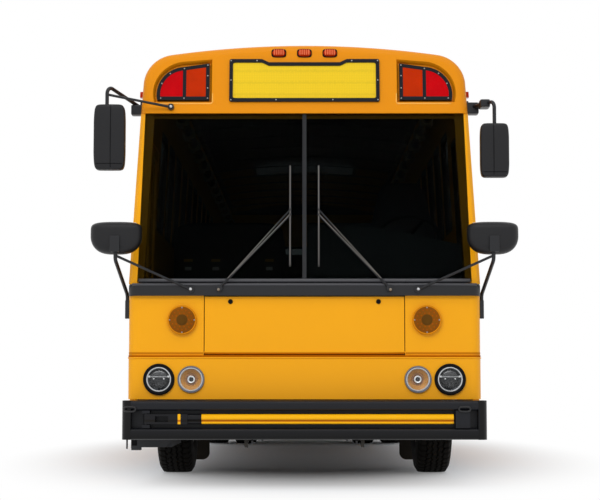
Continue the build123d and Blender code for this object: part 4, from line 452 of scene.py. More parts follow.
nodeFinish = {
    "busYellow": ("wall_left", "wall_right", "roof", "lamp_panel", "front_shell", "front_access_panel",
                  "rear_wall", "engine_door", "entrance_front_leaf", "entrance_rear_leaf", "emergency_door"),
    "capYellow": ("front_cap",),
    "hatchWhite": ("roof_hatch_front", "roof_hatch_rear"),
    "mouldedBlack": ("cowl",),
    "trimNavy": ("lamp_frames",),
    "windscreenTint": ("windshield",),
    "windowTint": ("window_glass", "entrance_front_glass", "entrance_rear_glass", "emergency_glass"),
    "bumperBlack": ("front_bumper", "rear_bumper"),
    "satinBlack": ("window_frames", "side_trim", "wipers", "mirror_arms"),
    "floorRubber": ("floor",),
    "frameBlack": ("chassis_frame", "suspension", "front_axle", "knuckle_left", "knuckle_right", "tie_rod",
                   "rear_axle"),
    "castBlock": ("engine",),
    "rimPaint": ("front_left_wheel", "front_right_wheel", "rear_left_wheels", "rear_right_wheels"),
    "gateYellow": ("crossing_gate",),
    "stopRed": ("stop_arm",),
    "signYellow": ("sign_boards",),
    "amberLens": ("amber_lamps",),
    "redLens": ("red_lamps",),
    "mirrorSilver": ("mirror_glass",),
    "dashGrey": ("dash", "steering_wheel"),
    "tankPaint": ("tanks",),
    "pipeSteel": ("exhaust",),
    "flapRubber": ("mud_flaps",),
}
for coat, names in nodeFinish.items():
    for name in names:
        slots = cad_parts[name].data.materials
        slots.clear()
        slots.append(finish[coat])
print("finishes on", sum(len(names) for names in nodeFinish.values()), "nodes")


# Tyres: a sidewall of arcs and a tread cut by zigzag grooves, shoulder slots and sipes
tyre = dict(radius=0.527, halfWidth=0.14, bead=0.292, rimHalf=0.105, treadHalf=0.112, lugs=56, turns=448,
            rows=44, crown=0.006, edgeStart=0.11, edgeDrop=0.0036, grooveDepth=0.013, grooveHalf=0.0048,
            grooves=(-0.064, -0.021, 0.021, 0.064), zigzag=0.006, slotStart=0.07, slotShare=0.22, sipeX=0.042,
            sipeHalf=0.018, sipeShare=0.13, sipeTwist=0.14, sipeDepth=0.45, wallRows=12, shoulder=0.022,
            beadLap=0.006, wallOut=0.012)
axles = dict(front=(1.021, -3.4), rearOuter=(1.018, 2.59), rearInner=(0.688, 2.59))


def tyreShape(middleX, station):
    # radius over (turn, x): crown, minus the grooves, then sidewall rows bulging from shoulder to bead
    t = tyre
    turn = np.linspace(0, 2 * np.pi, t["turns"], endpoint=False)[:, None]
    x = np.linspace(-t["treadHalf"], t["treadHalf"], t["rows"])[None, :]
    phase = t["lugs"] * turn / (2 * np.pi)
    zigzag = t["zigzag"] * (2 * np.abs(2 * (phase % 1) - 1) - 1)
    grooves = np.any([np.abs(x - middle - zigzag) < t["grooveHalf"] for middle in t["grooves"]], axis=0)
    slots = (np.abs(x) > t["slotStart"]) & ((phase + 0.25 * np.sign(x)) % 1 < t["slotShare"])
    sipes = np.abs(np.abs(x) - t["sipeX"]) < t["sipeHalf"]
    sipes = sipes & ((phase + 2 * x / t["sipeTwist"]) % 1 < t["sipeShare"])
    crown = t["radius"] - t["crown"] * (x / t["treadHalf"]) ** 4
    crown = crown - (np.abs(x) > t["edgeStart"]) * t["edgeDrop"]
    tread = crown - t["grooveDepth"] * np.where(grooves | slots, 1.0, np.where(sipes, t["sipeDepth"], 0.0))
    s = np.linspace(0, 1, t["wallRows"])[1:]
    shoulder = t["radius"] - t["shoulder"]
    wall = np.ones((t["turns"], 1)) * (shoulder + s * (t["bead"] + t["beadLap"] - shoulder))
    foot = t["treadHalf"] + t["wallOut"]
    bulge = foot + (t["halfWidth"] - foot) * np.sin(np.pi * s**0.85) ** 0.8
    bulge = np.where(s > 0.75, np.minimum(bulge, t["rimHalf"] + 0.08 * (1 - s) + t["wallOut"]), bulge)
    across = np.concatenate([-bulge[::-1], x[0], bulge])
    radius = np.concatenate([wall[:, ::-1], tread, wall], axis=1)
    points = pathOf(middleX + across, station + radius * np.cos(turn), t["radius"] + radius * np.sin(turn))
    return points.reshape(-1, 3), gridFaces(t["turns"], points.shape[1], closeRows=True)[:, ::-1]


def tyreSet(name, side, places, body, node):
    shapes = [tyreShape(side * x, station) for x, station in places]
    piece = addPiece(name, joinShapes(shapes), "tyreRubber", body, smooth=False)
    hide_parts(node)


# Wheel nuts on each wheel
wheelNut = dict(count=10, circle=0.143, radius=0.0165, height=0.026, frontFace=1.085, rearFace=0.94,
                profile=((0, 1), (0.7, 1), (0.86, 0.8), (1, 0.45), (1, 0)))


def nutRing(side, faceX, station):
    # hexagonal nuts with domed ends on a circle
    n = wheelNut
    profile = [(along * n["height"], share * n["radius"]) for along, share in n["profile"]]
    turn = np.linspace(0, 2 * np.pi, n["count"], endpoint=False)
    y, z = station + n["circle"] * np.cos(turn), tyre["radius"] + n["circle"] * np.sin(turn)
    return repeatShape(spun(profile, 6, (0, 0, 0), (side, 0, 0)), pathOf(side * faceX, y, z))


for side, word in ((1, "left"), (-1, "right")):
    frontWheel, rearWheel = f"wheel_front_{word}", f"wheel_rear_{word}"
    tyreSet(f"frontTyre.{word}", side, [axles["front"]], frontWheel, f"front_{word}_tyre")
    rearPlaces = [axles["rearOuter"], axles["rearInner"]]
    tyreSet(f"rearTyres.{word}", side, rearPlaces, rearWheel, f"rear_{word}_tyres")
    frontNuts = nutRing(side, wheelNut["frontFace"], axles["front"][1])
    rearNuts = nutRing(side, wheelNut["rearFace"], axles["rearOuter"][1])
    addPiece(f"frontWheelNuts.{word}", frontNuts, "boltSteel", frontWheel, smooth=False)
    addPiece(f"rearWheelNuts.{word}", rearNuts, "boltSteel", rearWheel, smooth=False)
print("tyres made")

# Front lamps: sealed headlamps, driving lamps in amber bowls and domed turn signals
panelFace = dict(lower=-5.37, upper=-5.352)
lamps = {
    # middle across, face, height, radius
    "head": (1.002, panelFace["lower"], 0.745, 0.082),
    "drive": (0.781, panelFace["lower"], 0.745, 0.074),
    "turn": (0.845, -5.3765, 1.154, 0.096),
}
lampRings = (
    # piece, lamp, finish, slot, sides, profile of (forwards, share of the radius)
    ("headlampBowl", "head", "bowlDark", "lamp_lens", 56,
     ((-0.045, 0.0), (-0.044, 0.4), (-0.03, 0.75), (0.001, 0.97), (0.002, 1.0))),
    ("headlampRing", "head", "satinSilver", "lamp_lens", 56,
     ((0.006, 0.935), (0.0165, 0.945), (0.0185, 0.99), (0.0165, 1.035), (0.011, 1.04))),
    ("headlampRim", "head", "bezelBlack", "black_plastic", 56,
     ((0.01, 1.04), (0.0125, 1.06), (0.0165, 1.2), (0.015, 1.31), (0.004, 1.325))),
    ("headlampCover", "head", "clearCover", "lamp_lens", 56,
     ((0.008, 0.94), (0.0125, 0.85), (0.0145, 0.6), (0.0155, 0.3), (0.0158, 0.0))),
    ("drivingLampBowl", "drive", "bowlAmber", "lamp_lens", 56,
     ((-0.03, 0.0), (-0.029, 0.3), (-0.022, 0.42), (-0.016, 0.6), (-0.009, 0.63), (0.0, 0.97),
      (0.004, 1.02))),
    ("drivingLampCup", "drive", "cupBrown", "lamp_lens", 56,
     ((-0.027, 0.34), (-0.0205, 0.43), (-0.0152, 0.57), (-0.0165, 0.6))),
    ("drivingLampRing", "drive", "satinSilver", "lamp_lens", 56,
     ((0.003, 0.98), (0.0135, 0.99), (0.0145, 1.04), (0.014, 1.1), (0.01, 1.13))),
    ("drivingLampRim", "drive", "rimGrey", "lamp_lens", 56,
     ((0.01, 1.1), (0.0155, 1.12), (0.0175, 1.15), (0.0135, 1.18), (0.0165, 1.22), (0.014, 1.25),
      (0.002, 1.265))),
    ("drivingLampShield", "drive", "satinSilver", "lamp_lens", 32,
     ((-0.029, 0.36), (-0.006, 0.36), (-0.004, 0.33), (-0.006, 0.22), (-0.02, 0.2))),
    ("drivingLampCap", "drive", "bowlDark", "lamp_lens", 6, ((-0.02, 0.2), (-0.014, 0.12), (-0.012, 0.0))),
    ("drivingLampCover", "drive", "clearCover", "lamp_lens", 56,
     ((0.006, 1.1), (0.011, 0.9), (0.013, 0.5), (0.0135, 0.0))),
    ("turnRim", "turn", "turnRim", "amber_lens", 64,
     ((0.0, 1.05), (0.005, 1.04), (0.007, 1.0), (0.005, 0.955), (0.0035, 0.945))),
    ("turnLens", "turn", "turnLens", "amber_lens", 64,
     ((0.0035, 0.945), (0.0055, 0.9), (0.0075, 0.6), (0.0085, 0.3), (0.0088, 0.0))),
    ("turnCore", "turn", "turnCore", "amber_lens", 64,
     ((0.0076, 0.4), (0.0096, 0.38), (0.0102, 0.2), (0.0104, 0.0))),
)
# a cap of six sides stays flat, and rounder rings are smooth
for name, key, coat, slot, sides, profile in lampRings:
    x, face, z, radius = lamps[key]
    scaled = [(ahead, share * radius) for ahead, share in profile]
    shape = bothSides(spun(scaled, sides, (x, face, z), (0, -1, 0)))
    addPiece(name, shape, coat, smooth=sides > 6)
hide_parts("headlamps")

# Inside the headlamps: a dark upper lens, upright ribs, a bright bar and two emitters
inside = dict(lensShare=0.8, lensLow=0.022, lensDome=0.014, lensBack=-0.006, ribs=9, ribReach=0.048,
              ribHalf=0.0012, ribFoot=0.064, ribTop=0.012, ribRise=0.6, ribFront=0.002, ribBack=0.02,
              barBack=0.01, emitters=(-0.034, 0.036), emitterOut=0.004, emitterUp=0.004,
              emitterHalf=(0.006, 0.004, 0.005),
              bars=((-0.07, 0.07, 0.009, 0.0165, 0.0195), (-0.073, -0.06, 0.013, 0.014, 0.026),
                    (0.06, 0.073, 0.013, 0.014, 0.026)))
headX, headFace, headZ, headRadius = lamps["head"]


def upperLens():
    # segment of a disc above a chord, domed forwards
    radius, low = inside["lensShare"] * headRadius, inside["lensLow"]
    half = math.sqrt(radius**2 - low**2)
    px = half * np.linspace(-1, 1, 25)[:, None] * np.ones(9)
    top = np.sqrt(np.maximum(radius**2 - px**2, low**2))
    pz = low + (top - low) * np.linspace(0, 1, 9)
    dome = inside["lensDome"] * np.sqrt(np.maximum(0, 1 - (px**2 + pz**2) / (1.04 * radius) ** 2))
    points = pathOf(headX + px, headFace - inside["lensBack"] - dome, headZ + pz)
    return points.reshape(-1, 3), gridFaces(25, 9)


addPiece("headlampUpperLens", bothSides(upperLens()), "lensBlack")
ribs = []
for x in np.linspace(-inside["ribReach"], inside["ribReach"], inside["ribs"]):
    foot, top = headZ - inside["ribFoot"] + abs(x) * inside["ribRise"], headZ - inside["ribTop"]
    ribs.append(boxShape((headX + x - inside["ribHalf"], headFace - inside["ribFront"], foot),
                         (headX + x + inside["ribHalf"], headFace + inside["ribBack"], top)))
addPiece("headlampRibs", bothSides(joinShapes(ribs)), "lensBlack", smooth=False)
# each bar: inner edge, outer edge, forwards, foot, top
bars = [boxShape((headX + low, headFace - out, headZ + foot),
                 (headX + high, headFace + inside["barBack"], headZ + top))
        for low, high, out, foot, top in inside["bars"]]
addPiece("headlampBar", bothSides(joinShapes(bars)), "satinSilver", smooth=False)
dots = pathOf(headX + np.array(inside["emitters"]), headFace - inside["emitterOut"],
              headZ + inside["emitterUp"])
emitter = roundedBlock((0, 0, 0), inside["emitterHalf"], 0.8, 6, 10)
addPiece("headlampEmitters", bothSides(repeatShape(emitter, dots)), "satinSilver")

# Turn signals: two rings of emitters and four screws
turnSignal = dict(rings=((0.07, 16), (0.048, 10)), spotOut=0.0076, screwRing=0.085, screwOut=0.0055)


def onTurnFace(ring, count, out):
    # places on a circle round the lamp's axis, ahead of its face
    x, face, z, radius = lamps["turn"]
    angle = np.arange(count) * 2 * np.pi / count
    return pathOf(x + ring * np.cos(angle), face - out, z + ring * np.sin(angle))


spots = [onTurnFace(ring, count, turnSignal["spotOut"]) for ring, count in turnSignal["rings"]]
spotShape = spun([(0, 0.0055), (0.0014, 0.004), (0.002, 0.0)], 10, (0, 0, 0), (0, -1, 0))
addPiece("turnEmitters", bothSides(repeatShape(spotShape, np.concatenate(spots))), "turnSpot")
screwHead = spun([(0, 0.0055), (0.0022, 0.005), (0.0034, 0.0025), (0.0036, 0.0)], 10, (0, 0, 0), (0, -1, 0))
screwPlaces = onTurnFace(turnSignal["screwRing"], 4, turnSignal["screwOut"])
addPiece("turnScrews", bothSides(repeatShape(screwHead, screwPlaces)), "boltSteel")
print("front lamps made")

# Screws round the warning lamp frames and the sign frame on the leaning cap
cap = dict(lipY=-5.272, lipZ=2.614, lean=math.radians(8), frameOut=-0.008, signOut=0.016,
           frame=((0.684, 2.725), (0.85, 2.725), (1.015, 2.725), (0.684, 2.80), (0.684, 2.89), (0.684, 2.968),
                  (0.85, 2.943), (0.95, 2.906), (1.008, 2.833)),
           sign=((0.518, 2.706), (0.518, 2.85), (0.518, 2.993), (0.335, 2.993), (0.2, 2.706)))


def onCap(x, z, out):
    # point at a height on the cap's face, moved out along its normal
    z = np.asarray(z, float)
    y = cap["lipY"] + math.tan(cap["lean"]) * (z - cap["lipZ"]) - out * math.cos(cap["lean"])
    return pathOf(x, y, z + out * math.sin(cap["lean"]))


places = np.concatenate([onCap(*np.array(cap["frame"]).T, cap["frameOut"]),
                         onCap(*np.array(cap["sign"]).T, cap["signOut"])])
capScrews = repeatShape(tipped(screwHead, -cap["lean"]), places)
addPiece("frameScrews", bothSides(capScrews), "boltSteel")

# Roof markers: a dark base and five ribs on each lens
marker = dict(pitch=0.181, z=3.052, half=(0.053, 0.005, 0.032), ribHalf=(0.0055, 0.004, 0.021), ribs=5,
              ribPitch=0.0155, baseOut=0.003, ribOut=0.0255)
markerX = np.array([-1, 0, 1]) * marker["pitch"]
markerBase = tipped(roundedBlock((0, 0, 0), marker["half"], 0.5, 14, 28), -cap["lean"])
bases = repeatShape(markerBase, onCap(markerX, marker["z"], marker["baseOut"]))
addPiece("markerBases", bases, "bezelBlack")
ribX = (markerX[:, None] + (np.arange(marker["ribs"]) - 2)[None, :] * marker["ribPitch"]).ravel()
markerRib = tipped(roundedBlock((0, 0, 0), marker["ribHalf"], 0.6, 8, 12), -cap["lean"])
lensRibs = repeatShape(markerRib, onCap(ribX, marker["z"], marker["ribOut"]))
addPiece("markerRibs", lensRibs, "ribLens")

# Moulded lips along the foot and the inner side of the lamp pockets, paler than the cap as a painted
# highlight on their rounded edge
lip = dict(outer=1.035, inner=0.648, z=2.683, top=2.76, corner=0.016, radius=0.0045, out=-0.001)
bend = np.linspace(0, np.pi / 2, 8)[1:]
lipX = np.concatenate([np.linspace(lip["outer"], lip["inner"] + lip["corner"], 16),
                       lip["inner"] + lip["corner"] * (1 - np.sin(bend)), np.full(4, lip["inner"])])
lipZ = np.concatenate([np.full(16, lip["z"]), lip["z"] + lip["corner"] * (1 - np.cos(bend)),
                       np.linspace(lip["z"] + lip["corner"], lip["top"], 5)[1:]])
pocketLip = tube(onCap(lipX, lipZ, lip["out"]), lip["radius"])
addPiece("pocketLips", bothSides(pocketLip), "lipHighlightYellow")

# Mirror heads: moulded shells with a parting seam, and flat-topped heads on a clamp
heads = dict(tall=((-1, 1.3485, 2.4145, 0.1095, 0.2285), (1, 1.314, 2.3225, 0.1, 0.1875)), middleY=-5.445,
             depth=0.055, seam=0.0022, domeX=1.289, domeZ=1.722, domeHalf=(0.176, 0.107), domeBack=-5.49,
             domeDepth=0.092, clampX=1.29, clampOut=0.003, clampDrop=0.058, clampHalf=(0.034, 0.012, 0.055))
armClamps = (
    # middle, half sizes, softness
    ((1.188, -5.155, 2.662), (0.048, 0.05, 0.041), 0.2),
    ((1.262, -5.31, 2.668), (0.036, 0.07, 0.028), 0.3),
    ((-1.186, -5.15, 2.652), (0.044, 0.045, 0.036), 0.2),
)


def tallHead(side, x, z, halfX, halfZ):
    # rounded shell, barrelled up and down, narrower towards its ends
    points, quads = roundedBlock((0, 0, 0), (halfX, heads["depth"], halfZ), 0.22, 48, 96)
    u, w = points[:, 0] / halfX, points[:, 2] / halfZ
    points[:, 0] *= 1 - 0.05 * w**2
    points[:, 1] += (points[:, 1] < 0) * (0.012 * u**2 + 0.01 * w**2)
    return points + np.array([side * x, heads["middleY"], z]), quads


def headSeam(side, x, z, halfX, halfZ):
    # parting line down the shell's front and across near its foot
    w = np.linspace(-0.93, 0.93, 40)
    face = heads["middleY"] - heads["depth"] * (1 - np.abs(w) ** 9.1) ** 0.11 + 0.01 * w**2
    down = pathOf(side * (x - 0.1 * halfX), face - 0.0004, z + halfZ * w)
    u = np.linspace(-0.86, 0.86, 30)
    foot = heads["middleY"] - heads["depth"] * (1 - 0.82**9.1 * 0.2) + 0.012 * u**2 + 0.0055
    low = pathOf(side * x + halfX * 0.966 * u, foot, z - 0.82 * halfZ)
    return joinShapes([tube(down, heads["seam"], 8), tube(low, heads["seam"], 8)])


def flatHead(side):
    # flat-topped oval outline that shrinks forwards like a quarter superellipse
    middleX = side * heads["domeX"]
    angle = np.linspace(0, 2 * np.pi, 96, endpoint=False)[None, :]
    slope = np.linspace(0, np.pi / 2, 18)[:, None]
    c, s = np.cos(angle), np.sin(angle)
    shrink = np.cos(slope) ** 0.55
    x = middleX + heads["domeHalf"][0] * signedPower(c, 0.66) * shrink
    rise = np.where(s > 0, signedPower(s, 0.30) * 0.93, s * 1.17)
    z = heads["domeZ"] + heads["domeHalf"][1] * rise * shrink
    y = heads["domeBack"] - heads["domeDepth"] * np.sin(slope) ** 0.8
    rim = np.tile([middleX, heads["domeBack"], heads["domeZ"]], (96, 1))
    points = np.concatenate([rim, pathOf(x, y, z).reshape(-1, 3)])
    return points, gridFaces(19, 96, closeColumns=True)[:, ::-1]


shells = [tallHead(*row) for row in heads["tall"]] + [flatHead(side) for side in (-1, 1)]
mirrorHeads = addPiece("mirrorShells", joinShapes(shells), "mirrorGrey")
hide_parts("mirror_heads")
addPiece("mirrorSeams", joinShapes([headSeam(*row) for row in heads["tall"]]), "bezelBlack")
clampY = heads["domeBack"] - heads["domeDepth"] - heads["clampOut"]
clampZ = heads["domeZ"] - heads["clampDrop"]
clamps = [roundedBlock((side * heads["clampX"], clampY, clampZ), heads["clampHalf"], 0.2, 14, 28)
          for side in (1, -1)]
clamps += [roundedBlock(*row, 14, 28) for row in armClamps]
addPiece("mirrorClamps", joinShapes(clamps), "mouldedBlack")
print("mirrors made")

# Benches: padded vinyl cushions and backs on tubular legs
bench = dict(pitch=0.711, count=10, first=-2.57, inner=0.18, outer=1.14, skipped=4, cushionZ=1.4855,
             cushionSet=0.165, cushionDepth=0.262, cushionHalf=0.055, backZ=1.815, backHalf=0.298,
             backThick=0.054, backSet=0.082, lean=math.radians(7.7), legs=(0.265, 0.495), legRadius=0.013,
             floor=1.1, channels=(-0.33, 0.33))
legBend = dict(setBack=(0.33, 0.345, 0.31, 0.2, 0.09, 0.055, 0.06), under=0.04, clear=0.014, rise=0.05,
               plateHalf=0.025, plate=(0.37, 0.03), plateZ=(0.014, 0.008))
rearBench = dict(half=1.1, back=5.08, lift=0.32, channels=(-0.6, -0.2, 0.2, 0.6),
                 legs=(-0.785, -0.015, 0.785))
benchMiddle, benchHalf = (bench["inner"] + bench["outer"]) / 2, (bench["outer"] - bench["inner"]) / 2
benchPlaces = [(side, bench["first"] + row * bench["pitch"])
               for row in range(bench["count"]) for side in (1, -1) if side < 0 or row != bench["skipped"]]


def paddedBlock(centre, half, channels):
    # rounded pad with a crowned face and sewn channels across its width
    points, quads = roundedBlock((0, 0, 0), half, 0.3, 22, 56)
    u, v = points[:, 0] / half[0], points[:, 1] / half[1]
    crown = 0.10 * half[2] * (1 - u**2) * (1 - v**2)
    seams = sum(np.exp(-((u - middle) / 0.02) ** 2) for middle in channels)
    faces = np.abs(points[:, 2]) > 0.5 * half[2]
    points[:, 2] += np.sign(points[:, 2]) * (crown - 0.08 * half[2] * seams * faces)
    return points + np.asarray(centre), quads


def uprightPad(pad, angle, place):
    # pad tipped up to lean back, then moved to its place
    points, quads = tipped(pad, angle)
    return points + np.array(place), quads


def benchPads(middleX, halfX, back, lift, channels):
    b = bench
    cushion = paddedBlock((middleX, back - b["cushionSet"], b["cushionZ"] + lift),
                          (halfX, b["cushionDepth"], b["cushionHalf"]), channels)
    pad = paddedBlock((0, 0, 0), (halfX, b["backHalf"], b["backThick"]), channels)
    place = (middleX, back + b["backSet"], b["backZ"] + lift)
    return cushion, uprightPad(pad, math.pi / 2 - b["lean"], place)


def benchLegs(back, lift, legs):
    # bent tube frames: down, along the floor and up again, on a foot plate
    shapes = []
    g = legBend
    top, low = bench["cushionZ"] + lift - g["under"], bench["floor"] + lift + g["clear"]
    y = back - np.array(g["setBack"])
    z = [top, low + g["rise"], low, low, low, low + g["rise"], top]
    for x in legs:
        shapes.append(tube(pathOf(x, y, z), bench["legRadius"], 10))
        shapes.append(boxShape((x - g["plateHalf"], back - g["plate"][0], low - g["plateZ"][0]),
                               (x + g["plateHalf"], back - g["plate"][1], low - g["plateZ"][1])))
    return shapes


pads, legs = [], []
for side, back in benchPlaces:
    pads.append(benchPads(side * benchMiddle, benchHalf, back, 0, bench["channels"]))
    legs += benchLegs(back, 0, [side * leg for leg in bench["legs"]])
pads.append(benchPads(0, rearBench["half"], rearBench["back"], rearBench["lift"], rearBench["channels"]))
legs += benchLegs(rearBench["back"], rearBench["lift"], rearBench["legs"])
cushionPiece = addPiece("benchCushions", joinShapes([pair[0] for pair in pads]), "seatVinyl")
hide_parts("passenger_seats")
addPiece("benchBacks", joinShapes([pair[1] for pair in pads]), "seatVinyl")
addPiece("benchLegs", joinShapes(legs), "satinBlack")

# Lap belts on the bench backs: webbing, a tag and a buckle each
belt = dict(across=(-0.73, -0.23, 0.74), half=0.024, sunk=0.004)
beltParts = {
    # finish, foot, height, share of the half width, proud of the back
    "beltWebbing": ("beltGrey", 1.56, 0.51, 1.0, 0.006),
    "beltTags": ("tagYellow", 1.765, 0.024, 1.6, 0.012),
    "beltBuckles": ("satinSilver", 1.69, 0.03, 1.2, 0.02),
}
beltPlaces = [(side * (benchMiddle - u * benchHalf), back)
              for side, back in benchPlaces for u in belt["across"]]


def beltAt(x, back, low, high, half, proud):
    # strip that lies on the leaning front of a bench back
    points, quads = boxShape((x - half, 0, low), (x + half, 1, high))
    rise = (points[:, 2] - bench["backZ"]) * math.tan(bench["lean"])
    face = back + bench["backSet"] + rise - bench["backThick"] * 1.06
    points[:, 1] = face - np.where(points[:, 1] < 0.5, proud, -belt["sunk"])
    return points, quads


beltPieces = {}
for name, (coat, low, height, share, proud) in beltParts.items():
    strips = [beltAt(x, back, low, low + height, share * belt["half"], proud) for x, back in beltPlaces]
    beltPieces[name] = addPiece(name, joinShapes(strips), coat, smooth=False)
bevel(beltPieces["beltBuckles"], 0.004)

# Front seat: cushion, tapered back and head rest on a bellows pedestal
driver = dict(x=0.77, back=-3.86, half=0.24, seat=(0.18, 1.645), seatHalf=(0.26, 0.062),
              upright=(0.075, 1.965), uprightHalf=(0.33, 0.055), taper=0.3, lean=math.radians(82),
              rest=(0.12, 2.24), restHalf=(0.15, 0.045, 0.065), channels=(-0.45, 0.45), foot=(0.245, 1.1),
              pedestal=((0, 0.13), (0.02, 0.13), (0.03, 0.09), (0.1, 0.085), (0.11, 0.1), (0.2, 0.105),
                        (0.21, 0.09), (0.32, 0.09), (0.34, 0.13), (0.5, 0.14)))
seatX, seatBack = driver["x"], driver["back"]
seat = paddedBlock((seatX, seatBack - driver["seat"][0], driver["seat"][1]),
                   (driver["half"], *driver["seatHalf"]), driver["channels"])
pad = paddedBlock((0, 0, 0), (driver["half"], *driver["uprightHalf"]), driver["channels"])
pad[0][:, 0] *= 1 - driver["taper"] * np.clip(pad[0][:, 1] / driver["uprightHalf"][0], 0, 1)
pad = uprightPad(pad, driver["lean"], (seatX, seatBack + driver["upright"][0], driver["upright"][1]))
rest = roundedBlock((seatX, seatBack + driver["rest"][0], driver["rest"][1]), driver["restHalf"], 0.4)
chair = addPiece("driverCushions", joinShapes([seat, pad, rest]), "seatVinyl")
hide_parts("driver_seat")
column = spun(driver["pedestal"], 32, (seatX, seatBack - driver["foot"][0], driver["foot"][1]), (0, 0, 1))
bevel(addPiece("driverPedestal", column, "dashGrey"), 0.006)
print("seats made:", len(pads), "benches")

# Ceiling liner, bows and side coves seen through the glass
cabin = dict(crownRadius=6.552, crownZ=-3.482, bowHalf=1.0, bowWidth=0.03, bowDepth=0.01, first=-4.12,
             pitch=0.711, bows=14, liner=(-4.75, 5.3), linerThick=0.004, coveX=1.0, coveZ=2.86,
             cove=(-4.7, 5.25), coveRings=240, coveRadius=0.034, swell=0.006, rib=(0.052, 0.13, 0.05),
             clipAt=(-0.03, 0, -0.042), clip=(0.026, 0.07, 0.02))
bowStations = cabin["first"] + np.arange(cabin["bows"]) * cabin["pitch"]
crownX = np.linspace(-cabin["bowHalf"], cabin["bowHalf"], 33)
crownZ = cabin["crownZ"] + np.sqrt(cabin["crownRadius"] ** 2 - crownX**2)


def bowShape(station):
    # flat strip bent along the crown of the ceiling
    across, down = np.array([(-1, 0), (-0.6, -1), (0.6, -1), (1, 0)]).T
    y, z = station + across * cabin["bowWidth"], crownZ[:, None] + down * cabin["bowDepth"]
    return pathOf(crownX[:, None], y, z).reshape(-1, 3), gridFaces(33, 4, closeColumns=True)


def linerShape(front, rear):
    # thin sheet under the roof, bent like the bows, with its ends closed
    loopX = np.concatenate([crownX, crownX[::-1]])
    loopZ = np.concatenate([crownZ - cabin["linerThick"], crownZ[::-1]])
    endZ = np.tile(crownZ - cabin["linerThick"] / 2, 2)
    ends = [pathOf(np.tile(crownX, 2), y, endZ) for y in (front, rear)]
    points = np.stack([ends[0], pathOf(loopX, front, loopZ), pathOf(loopX, rear, loopZ), ends[1]])
    return points.reshape(-1, 3), gridFaces(4, 66, closeColumns=True)


addPiece("ceilingLiner", linerShape(*cabin["liner"]), "linerPaint", smooth=False)
bows = [bowShape(station) for station in bowStations]
addPiece("ceilingBows", joinShapes(bows), "linerPaint", smooth=False)
swell = cabin["coveRadius"] + cabin["swell"] * np.abs(np.sin(np.arange(cabin["coveRings"]) * 1.3))
coveLine = pathOf(cabin["coveX"], np.linspace(*cabin["cove"], cabin["coveRings"]), cabin["coveZ"])
addPiece("sideCoves", bothSides(tube(coveLine, swell, 14)), "linerPaint")
ribPlaces = pathOf(cabin["coveX"], bowStations, cabin["coveZ"])
# the ribs are pale against the dark cove: a painted highlight along them
coveRib = roundedBlock((0, 0, 0), cabin["rib"], 0.4, 14, 28)
addPiece("coveRibs", bothSides(repeatShape(coveRib, ribPlaces)), "ribHighlightPaint")
coveClip = roundedBlock(cabin["clipAt"], cabin["clip"], 0.7, 12, 20)
addPiece("coveClips", bothSides(repeatShape(coveClip, ribPlaces)), "clipWhite")
print("cabin lining made")

# Rivets along the rub rails, the window line and the skirt
rivet = dict(radius=0.006, height=0.0025, pitch=0.09, lean=math.tan(math.radians(3.1)), belt=1.4, half=1.22,
             rails=(1.19, 1.24, 1.515, 1.565, 1.84), railOut=0.014, behindArm=(1.515, 1.565),
             front=-4.18, frontRight=-4.16, armEnd=-3.9, door=(0.13, 0.88), rear=5.34, windowLine=2.775,
             windows=(-4.85, 5.3), skirt=0.66, skirtRuns=((-2.6, 1.9), (3.3, 5.3)))


def sideX(z):
    return rivet["half"] - max(0, z - rivet["belt"]) * rivet["lean"]


# each run: side, height, start, end, proud of the wall
doorFront, doorRear = rivet["door"]
windowFront, windowRear = rivet["windows"]
railRuns = ((1, rivet["front"], doorFront), (1, doorRear, rivet["rear"]),
            (-1, rivet["frontRight"], rivet["rear"]))
windowRuns = ((1, windowFront, doorFront), (1, doorRear, windowRear), (-1, windowFront, windowRear))
rivetRuns = []
for side, start, end in railRuns:
    for z in rivet["rails"]:
        behind = start == rivet["front"] and z in rivet["behindArm"]
        rivetRuns.append((side, z, rivet["armEnd"] if behind else start, end, rivet["railOut"]))
rivetRuns += [(side, rivet["windowLine"], start, end, 0.0) for side, start, end in windowRuns]
rivetRuns += [(side, rivet["skirt"], *run, 0.0) for run in rivet["skirtRuns"] for side in (1, -1)]
rivetProfile = [(0, rivet["radius"]), (0.6 * rivet["height"], 0.8 * rivet["radius"]), (rivet["height"], 0.0)]
rivetHead = spun(rivetProfile, 8, (0, 0, 0), (1, 0, 0))
rivetPlaces = {1: [], -1: []}
for side, height, start, end, proud in rivetRuns:
    rivetPlaces[side].append(pathOf(sideX(height) + proud, np.arange(start, end, rivet["pitch"]), height))
leftRivets, rightRivets = (repeatShape(rivetHead, np.concatenate(rivetPlaces[side])) for side in (1, -1))
addPiece("bodyRivets", joinShapes([leftRivets, mirrored(rightRivets)]), "satinBlack")

# Stop arm: a white border on the blank octagon and two red lamps on each face
arm = dict(x=1.2557, hingeY=-3.982, neck=0.03, size=0.45, z=1.69, sheet=0.01, edge=0.006, border=0.018,
           film=0.0006, lampZ=0.15)
armMiddle = arm["hingeY"] + arm["neck"] + arm["size"] / 2


def octagonRing(x):
    # flat ring between two octagons, given by their half widths across flats
    outer = arm["size"] / 2 - arm["edge"]
    angle = np.pi / 8 + np.arange(8) * np.pi / 4
    rows = np.array([outer, outer - arm["border"]])[:, None] / math.cos(math.pi / 8)
    points = pathOf(x, armMiddle + rows * np.cos(angle), arm["z"] + rows * np.sin(angle))
    return points.reshape(-1, 3), gridFaces(2, 8, closeColumns=True)


